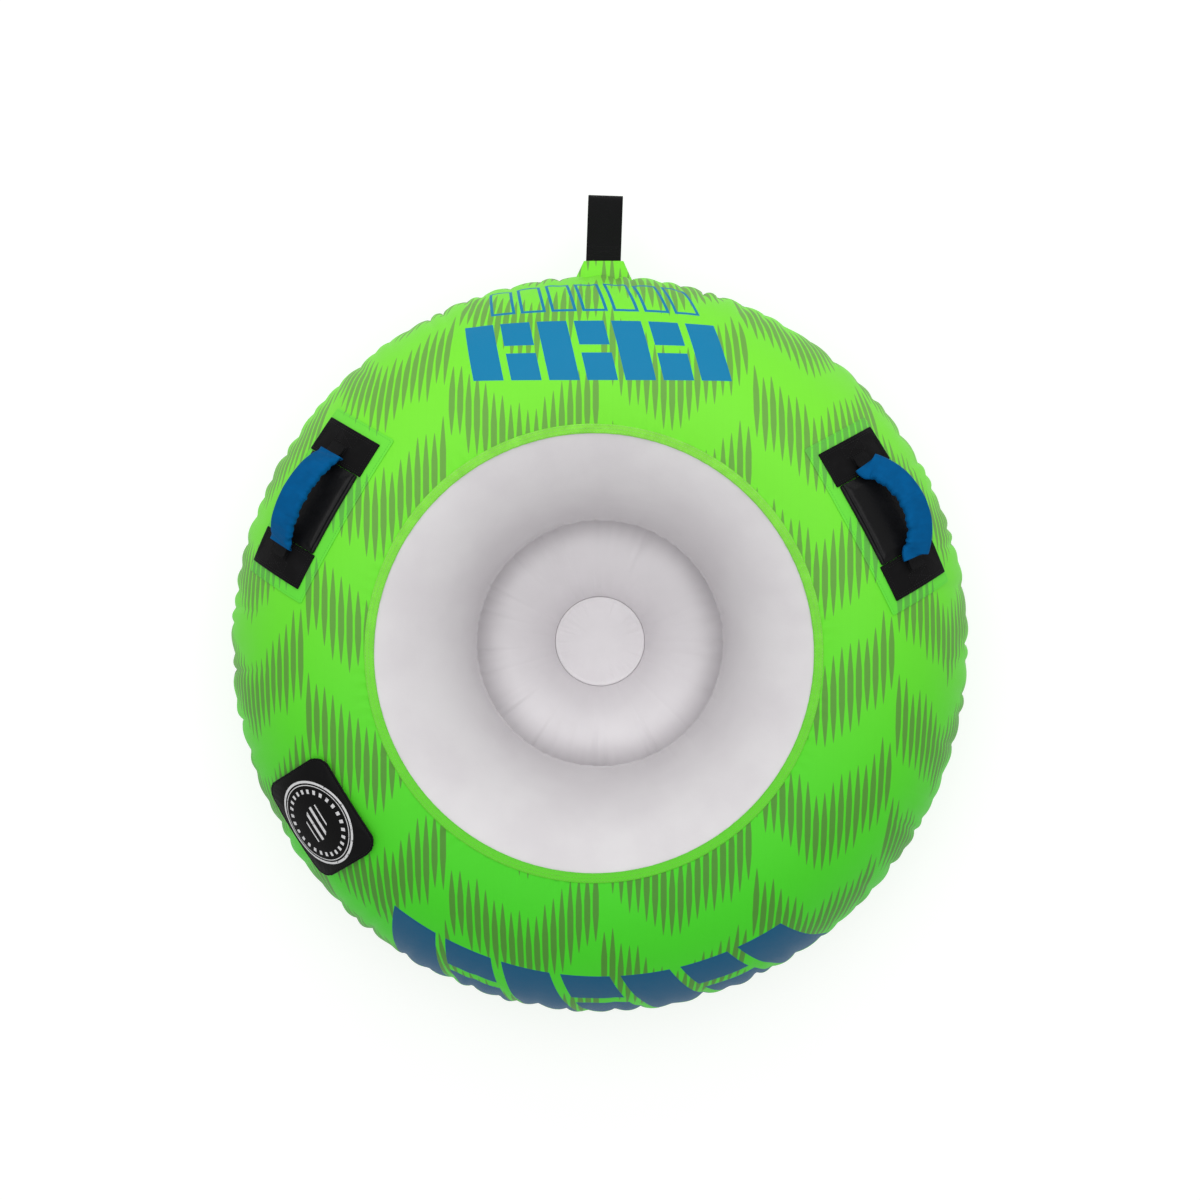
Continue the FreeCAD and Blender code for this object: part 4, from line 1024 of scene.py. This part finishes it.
def strap_half(name, place, side, lean):
    """The strap from its root on the end patch, up into the sleeve."""
    root = [(0.0725, -0.0002, 0.0074), (0.0760, 0, 0.0058), (0.0800, 0, 0.0052), (0.0860, 0, 0.0050)]
    knots = np.concatenate([grip_center(np.radians(np.linspace(34, 47, 12)), lean), root])
    center = evenly(knots, 40)
    for _ in range(3):
        center[1:-1] = (center[:-2] + center[1:-1] * 2 + center[2:]) / 4
    center[:, 0] *= side
    section = rounded_section(0.0248, 0.0016, 0.0005, 3)
    return sweep_on(name, place, center, *crossways(center, [0, 0, 1.0], side), section)


def box_cross(x_range, y_range):
    """A sewn box with a cross in it, as local paths."""
    a, b, c, d = [(x_range[i], y_range[j]) for i, j in ((0, 0), (1, 0), (1, 1), (0, 1))]
    box = np.concatenate([straight(*side, 12) for side in ((a, b), (b, c), (c, d), (d, a))])
    return [box, straight(a, c), straight(d, b)]


def shrunk(limits, inset):
    return limits[0] + inset, limits[1] - inset


ENDS = (("first", 1), ("second", -1))


def build_handle(side_name, place, lean, face_lean, seed):
    node, body = f"{side_name}_handle_", f"{side_name}_grip"
    vertices, faces = local_pad(BACKING_X, BACKING_Y, 0.0002, 0.0010, 0.003, 0.0005, 110, 52)
    backing = laid(node + "backing", place, vertices, faces)
    spots, _ = mesh_arrays(backing)
    reach = np.hypot(spots[:, 0], spots[:, 1])
    tube_angle = np.arctan2(spots[:, 2] - MIDDLE, reach - RING)
    set_uv(backing, flat_uv(np.arctan2(spots[:, 1], spots[:, 0]), tube_angle))
    finish(backing, "tube", "green_nylon", PRINT_PATCH, node + "backing_patch")
    lines = [on_place(place, outline_path(BACKING_X, BACKING_Y, 0.003, 0.003, 900), 0.0010)]
    sew(node + "backing_stitching", "tube", "green_nylon", PATCH_THREAD, lines, 0.0026, 0.0012, 0.0006, 0.0003)

    start, faces = local_pad(shrunk(PAD_X, 0.0002), shrunk(PAD_Y, 0.001), 0.0012, 0.0052, 0.0015)
    swollen, faces = inflate(start, faces, 0.0022, 0.0016, 0.0022)
    fold = hill(swollen[:, 1] - PAD_FOLD, 0.0013) * 0.0016
    roll = hill(swollen[:, 1] - PAD_ROLL, 0.0018) * 0.0009
    crown = np.cos(np.clip(swollen[:, 1] / 0.052, -1, 1) * TURN / 4) * 0.0005
    is_top = smooth_step(swollen[:, 2], 0.003, 0.0045)
    swollen[:, 2] += is_top * (roll - fold + crown)
    swollen[:, 2] = np.clip(swollen[:, 2], 0.0012, 0.0070)
    pad = laid(node + "pad", place, swollen, faces)
    finish(pad, "tube", "black_neoprene", PAD_NEOPRENE, node + "knuckle_pad")

    low, high = shrunk(PAD_X, 0.004)
    threads = [
        on_place(place, straight((low, y), (high, y), 120), height)
        for y, height in ((PAD_FOLD, 0.0043), (PAD_LOW_SEAM, 0.0052))
    ]
    for index, (name, side) in enumerate(ENDS):
        x_range = sorted(side * x for x in PATCH_X)
        vertices, faces = local_pad(x_range, PATCH_Y, 0.0011, 0.0040, 0.0015, 0.0013, 30, 56)
        bumps = soft_noise(vertices, 0.018, seed + index) * 0.00035
        vertices[:, 2] += np.where(vertices[:, 2] > 0.003, bumps, 0)
        patch = laid(f"{node}{name}_end", place, vertices, faces)
        finish(patch, "tube", "black_neoprene", PATCH_NEOPRENE, f"{node}{name}_patch")
        paths = [outline_path(x_range, PATCH_Y, 0.0015, inset, 500) for inset in (0.0035, 0.0062)]
        paths += box_cross(sorted((side * 0.0895, side * 0.106)), (-0.018, 0.018))
        threads += [on_place(place, path, 0.0041) for path in paths]
    sew(node + "stitching", "tube", "black_neoprene", BLACK_THREAD, threads, gap=0.0012)

    for name, side in ENDS:
        x_range = sorted((side * 0.0745, side * 0.0880))
        vertices, faces = local_pad(x_range, (-0.0125, 0.0125), 0.0041, 0.0057, 0.001, 0.0005, 12, 20)
        root = laid(f"{node}{name}_root", place, vertices, faces)
        finish(root, "tube", "black_webbing", WEBBING, f"{node}{name}_strap_root")
        paths = box_cross(sorted((side * 0.0772, side * 0.0865)), (-0.010, 0.010))
        lines = [on_place(place, path, 0.0057) for path in paths]
        thread = (0.0022, 0.0010, 0.0007, 0.0004)
        sew(f"{node}{name}_root_stitching", "tube", "black_webbing", BLACK_THREAD, lines, *thread)
        start, end = place.points([(side * 0.072, 0, SWING_HEIGHT), (side * 0.030, 0, SWING_HEIGHT)])
        sleeve = grip_half(f"{node}{name}_sleeve", place, side, lean, face_lean, seed + side)
        strap = strap_half(f"{node}{name}_strap", place, side, lean)
        for piece, slot_name, material, nodes in (
            (sleeve, "blue_neoprene", GRIP_CLOTH, ("grip_sleeve", "foam_core")),
            (strap, "black_webbing", WEBBING, ("webbing",)),
        ):
            finish(piece, None, slot_name, material, *[node + name for name in nodes])
            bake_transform(piece)


build_handle("left", LEFT, math.radians(-8), math.radians(-8), 300)
build_handle("right", RIGHT, math.radians(34), math.radians(-6), 400)

# ---------------------------------------------------------------- valve, its surround and its flap
FLAP_X, FLAP_Y = (-0.080, 0.075), (-0.058, 0.067)
FLAP_CORNER, FLAP_SEAM = 0.024, 0.0046  # the corners' radius, and how far the seam lies inside the edge
SURROUND_OUTLINE = ((-0.062, 0.062), (-0.043, 0.050), 0.020)
# share of the way from the hole to the edge, and millimetres over the cover
SURROUND_TOP = [(0, 0.4), (0.0, 2.6), (0.03, 3.5), (0.08, 4.05), (0.2, 4.3), (0.5, 4.4)]
SURROUND = SURROUND_TOP + [(0.8, 4.3), (0.92, 4.05), (0.97, 3.5), (1, 2.6), (1, 0.4), (0.5, 0.2)]
outer = outline_path(*SURROUND_OUTLINE, 0.0, 161)[:-1]
inner = unit(outer) * 0.0412
rings = []
for part, height in SURROUND:
    rings.append(VALVE.on_cover(inner + (outer - inner) * part, height / 1000))
surround = grid("valve_surround_pad", np.array(rings), wrap_rows=True, wrap_columns=True)
finish(surround, "tube", "black_neoprene", PATCH_NEOPRENE, "valve_surround")
lines = [on_place(VALVE, outline_path(*SURROUND_OUTLINE, 0.003, 500), 0.0042)]
sew("valve_surround_stitching", "tube", "black_neoprene", BLACK_THREAD, lines)

start, faces = local_pad(shrunk(FLAP_X, 0.001), shrunk(FLAP_Y, 0.001), 0.0078, 0.0104, 0.023)
swollen, faces = inflate(start, faces, 0.0021, 0.0013, 0.0086)
flap_middle = np.array([sum(FLAP_X), sum(FLAP_Y)]) / 2
flap_half = np.ptp([FLAP_X, FLAP_Y], axis=1) / 2
from_middle = np.abs(swollen[:, :2] - flap_middle)
from_edge = (flap_half - from_middle).min(axis=1)
past_corner = from_middle - flap_half + FLAP_CORNER
in_corner = (past_corner > 0).all(axis=1)
from_edge = np.where(in_corner, FLAP_CORNER - np.hypot(*past_corner.T), from_edge)
groove = hill(from_edge - FLAP_SEAM, 0.0010) * 0.0011
swollen[:, 2] -= groove * smooth_step(swollen[:, 2], 0.0088, 0.0098)
swollen[:, 2] = np.clip(swollen[:, 2], 0.0076, 0.0117)
flap = laid("valve_flap_pad", VALVE, swollen, faces)
finish(flap, None, "black_neoprene", BADGE, "valve_flap", "valve_flap_seam")
flap.data.materials.append(PATCH_NEOPRENE)
for face in flap.data.polygons:
    if np.mean([swollen[i, 2] for i in face.vertices]) < 0.0090:
        face.material_index = 1
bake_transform(flap)
lines = [on_place(VALVE, outline_path(FLAP_X, FLAP_Y, FLAP_CORNER, FLAP_SEAM, 600), 0.0098)]
flap_sewing = sew("valve_flap_stitching", None, "black_neoprene", BLACK_THREAD, lines)
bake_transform(flap_sewing)

for name, body, low in (("valve_loop_tape", "tube", 0.0046), ("valve_hook_tape", "valve_flap", 0.0061)):
    vertices, faces = local_pad((-0.045, 0.045), (0.043, 0.049), low, low + 0.0013, 0.0008, 0.0004, 60, 6)
    tape = laid(name + "_strip", VALVE, vertices, faces)
    finish(tape, body, "hook_and_loop", HOOK_TAPE, name)

# ---------------------------------------------------------------- tow loop
TOW = JOINTS["tow_loop_swing"]
TOW_AT, TOW_X = Vector(TOW["pos_m"]), Vector(TOW["axis"]).normalized()
DROOP = math.radians(8)
TOW_Y = Vector((-TOW_X.y, TOW_X.x, 0)) * math.cos(DROOP) - Vector((0, 0, math.sin(DROOP)))
TOW_Z = TOW_X.cross(TOW_Y)
TOW_AXES = np.array([TOW_X, TOW_Y, TOW_Z])


def tow_points(local):
    return np.array(TOW_AT) + np.asarray(local, float) @ TOW_AXES


LEG, EYE, EYE_END = 0.00130, 0.0102, 0.082
turns = np.linspace(-TURN / 4, TURN / 4, 15)
leg_in = [(-0.021, -LEG), (-0.014, -LEG), (-0.006, -LEG), (0.0, -LEG), (0.010, -LEG), (0.019, -LEG * 1.05)]
rise = [(y, -LEG - (EYE - LEG) * smooth_step(y, 0.018, 0.080)) for y in np.linspace(0.024, 0.078, 12)]
eye = [(EYE_END + EYE * math.cos(t), EYE * math.sin(t)) for t in turns]
half = leg_in + rise
tow_path = half + eye + [(y, -z) for y, z in reversed(half)]
tow_path = np.array([(0, y, z) for y, z in tow_path])
tow_path[:, 2] += np.sin(tow_path[:, 1] / 0.03) * 0.0004
sideways = np.broadcast_to([1.0, 0, 0], tow_path.shape)
outward = np.cross(unit(np.gradient(tow_path, axis=0)), sideways)
section = rounded_section(0.0498, 0.0023, 0.0008, 3)
strap = sweep("tow_strap", tow_points(tow_path), sideways @ TOW_AXES, outward @ TOW_AXES, section)
finish(strap, None, "black_webbing", WEBBING, "tow_loop", "tow_webbing_root")
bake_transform(strap)
SEW_X, SEW_Y = 0.0225, (0.003, 0.017)
sew_lines = [straight((x, 0.002), (x, 0.017), 20) for x in (-SEW_X, SEW_X)]
sew_lines += [straight((-SEW_X, y), (SEW_X, y)) for y in (0.003, 0.010, 0.017)]
sew_lines += [straight((-SEW_X, SEW_Y[0]), (SEW_X, SEW_Y[1])), straight((-SEW_X, SEW_Y[1]), (SEW_X, SEW_Y[0]))]
lines = []
for path in sew_lines:
    for side in (1, -1):
        local = np.insert(path, 2, side * (2 * LEG - 0.0001), axis=1)
        lines.append((tow_points(local), np.broadcast_to(TOW_AXES[2] * side, local.shape)))
sew("tow_strap_stitching", "tow_loop", "black_webbing", BLACK_THREAD, lines, 0.0028, 0.0012, 0.0009)

TAB_LOW, TAB_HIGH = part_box("tow_tab")
TAB_X = (TAB_LOW.x + TAB_HIGH.x) / 2
rings = []
for part in np.linspace(0, 1, 22):
    wide, high = 0.093 - 0.036 * part, 0.050 - 0.038 * part
    pinch = 1 - 0.02 * math.sin(math.pi * part)
    section = rounded_section(wide * pinch, high * pinch, 0.0055 - 0.002 * part, 8)
    angle = np.arctan2(section[:, 1], section[:, 0])
    creases = np.sin(angle * 13 + part * 2) * 0.010 + np.sin(angle * 7 + 1) * 0.012
    rings.append(section * (1 + creases * (1 - part))[:, None])
count = len(rings)
line = np.stack([np.full(count, TAB_X), np.linspace(0.508, TAB_HIGH.y, count), np.full(count, MIDDLE)], -1)
across, up = (np.broadcast_to(way, line.shape) for way in ([1.0, 0, 0], [0, 0, 1.0]))
tab = sweep("tow_tab_cone", line, across, up, np.array(rings))
spots, _ = mesh_arrays(tab)
set_uv(tab, spots[:, :2] + [0, 0.09])
finish(tab, "tube", "green_nylon", PRINT, "tow_tab")
front = outline_path((-0.0275, 0.0275), (-0.0052, 0.0052), 0.003, 0.0, 160)
front_points = np.stack([front[:, 0] + TAB_X, np.full(160, TAB_HIGH.y - 0.003), front[:, 1] * 1.25 + MIDDLE], -1)
front_normals = np.stack([front[:, 0] * 0, front[:, 0] * 0 + 0.3, np.sign(front[:, 1])], -1)
sew("tow_tab_stitching", "tube", "green_nylon", PATCH_THREAD, [(front_points, front_normals)], 0.0026, 0.0012)

# ---------------------------------------------------------------- zipper
ZIP_ANGLE = math.radians(-42)
zip_azimuth = np.radians(np.linspace(225, 315, 420))
# millimetres from the zipper's middle, and over the cover
TAPE = [(19.85, 0.1), (19.85, 0.9), (16.5, 1.0), (12.8, 1.05), (11.3, 1.5), (8.8, 3.3), (7.3, 3.8), (5.0, 3.9)]
TAPE_BACK = [(3.05, 3.9), (3.05, 3.0), (7.3, 3.0), (8.6, 2.5), (11.0, 0.7), (12.8, 0.15)]
for name, side in (("upper", 1), ("lower", -1)):
    section = [(side * d / 1000, h / 1000) for d, h in TAPE + TAPE_BACK]
    tape = band(f"zipper_{name}_strip", zip_azimuth, ZIP_ANGLE, section, lambda a, g: 0 * a, closed=False)
    finish(tape, "tube", "zipper_tape", TAPE_CLOTH, f"zipper_{name}_tape")
distances = (0.0150, 0.0182, -0.0150, -0.0182)
lines = [ring_line(zip_azimuth, ZIP_ANGLE + distance / TUBE, 0.00105) for distance in distances]
sew("zipper_stitching", "tube", "zipper_tape", BLACK_THREAD, lines)

tooth = bmesh.new()
bmesh.ops.create_cube(tooth, size=1.0)
bmesh.ops.bevel(tooth, geom=tooth.edges[:] + tooth.verts[:], offset=0.16, segments=2, profile=0.6, affect="EDGES")
tooth_points = np.array([vertex.co for vertex in tooth.verts])
tooth_faces = [[vertex.index for vertex in face.verts] for face in tooth.faces]
tooth.free()
TOOTH_PITCH = 0.0032
zip_reach = RING + TUBE * math.cos(ZIP_ANGLE)
tooth_count = int(math.radians(90) * zip_reach / TOOTH_PITCH)
for name, side in (("upper", 1), ("lower", -1)):
    vertices, faces = [], []
    for number in range(tooth_count - 1):
        turn = math.radians(225) + (number + (0.75 if side > 0 else 0.25)) * TOOTH_PITCH / zip_reach
        # a tooth is narrow at the tape and wide at its head, which reaches over the middle
        local = tooth_points * [0.0019, 0.0038, 0.0020]
        head = (0.5 - tooth_points[:, 1] * side) > 0.62
        along = local[:, 0] * np.where(head, 1.12, 0.80)
        distance = local[:, 1] + side * 0.0019
        vertices.append(ring_points(turn + along / zip_reach, ZIP_ANGLE + distance / TUBE, local[:, 2] + 0.00345))
        offset = number * len(tooth_points)
        faces += [[offset + index for index in face] for face in tooth_faces]
    teeth = new_object(f"zipper_{name}_row", np.concatenate(vertices), faces)
    finish(teeth, "tube", "zipper_teeth", TEETH_PLASTIC, f"zipper_{name}_teeth")

# ---------------------------------------------------------------- hard parts that CAD shapes well
for node_name, material, round_edge in (
    ("zipper_slider", METAL, 0.0005),
    ("zipper_pull", METAL, 0.0007),
    ("zipper_start_stop", METAL, 0.0003),
    ("zipper_end_stop", METAL, 0.0003),
    ("valve_flange", VINYL, 0.0003),
    ("valve_neck", VALVE_PLASTIC, 0.0004),
    ("valve_insert", VALVE_PLASTIC, 0.0003),
    ("valve_diaphragm", VALVE_RUBBER, 0.0003),
    ("valve_tether_ring", VALVE_PLASTIC, 0.0002),
    ("valve_tether", VALVE_PLASTIC, 0.0003),
    ("valve_cap", VALVE_PLASTIC, 0.0004),
):
    part = frame["nodes"][node_name]
    part.data.materials.clear()
    part.data.materials.append(material)
    bevel = part.modifiers.new("Bevel", "BEVEL")
    bevel.width = round_edge
    bevel.segments = 2
    bevel.limit_method = "ANGLE"
    bevel.angle_limit = math.radians(35)
    bevel.harden_normals = True

# ---------------------------------------------------------------- floor, lights and camera
floor = grid("stage_floor", np.array([[(x, y, -0.0006) for x in (-6.0, 0.0, 6.0)] for y in (-6.0, 0.0, 6.0)]))
graph = Graph("stage_floor", (0.36, 0.36, 0.36), 0.9, specular_ior_level=0.0, emission_strength=0.70)
graph.shader.inputs["Emission Color"].default_value = (1, 1, 1, 1)
floor.data.materials.append(graph.material)


def area_light(name, location, target, size, power):
    light = bpy.data.lights.new(name, "AREA")
    light.shape = "RECTANGLE"
    light.size, light.size_y = size
    light.energy = power
    lamp = bpy.data.objects.new(name, light)
    lamp.location = location
    lamp.rotation_euler = (Vector(target) - Vector(location)).to_track_quat("-Z", "Y").to_euler()
    bpy.context.scene.collection.objects.link(lamp)


scene = bpy.context.scene
area_light("key", (0.0, 2.8, 2.6), (0, 0, 0.15), (3.4, 1.8), 26)
area_light("overhead", (0.0, 0.3, 4.2), (0, 0, 0), (3.6, 3.6), 74)
world = bpy.data.worlds.new("studio")
world.use_nodes = True
world.node_tree.nodes["Background"].inputs["Color"].default_value = (1, 1, 1, 1)
world.node_tree.nodes["Background"].inputs["Strength"].default_value = 0.58
scene.world = world
scene.view_settings.view_transform = "Standard"

lens = bpy.data.cameras.new("photo_view")
lens.sensor_width = 36
lens.lens = 67
camera = bpy.data.objects.new("photo_view", lens)
camera.location = (0, 0.062, 3.375)
scene.collection.objects.link(camera)
scene.camera = camera
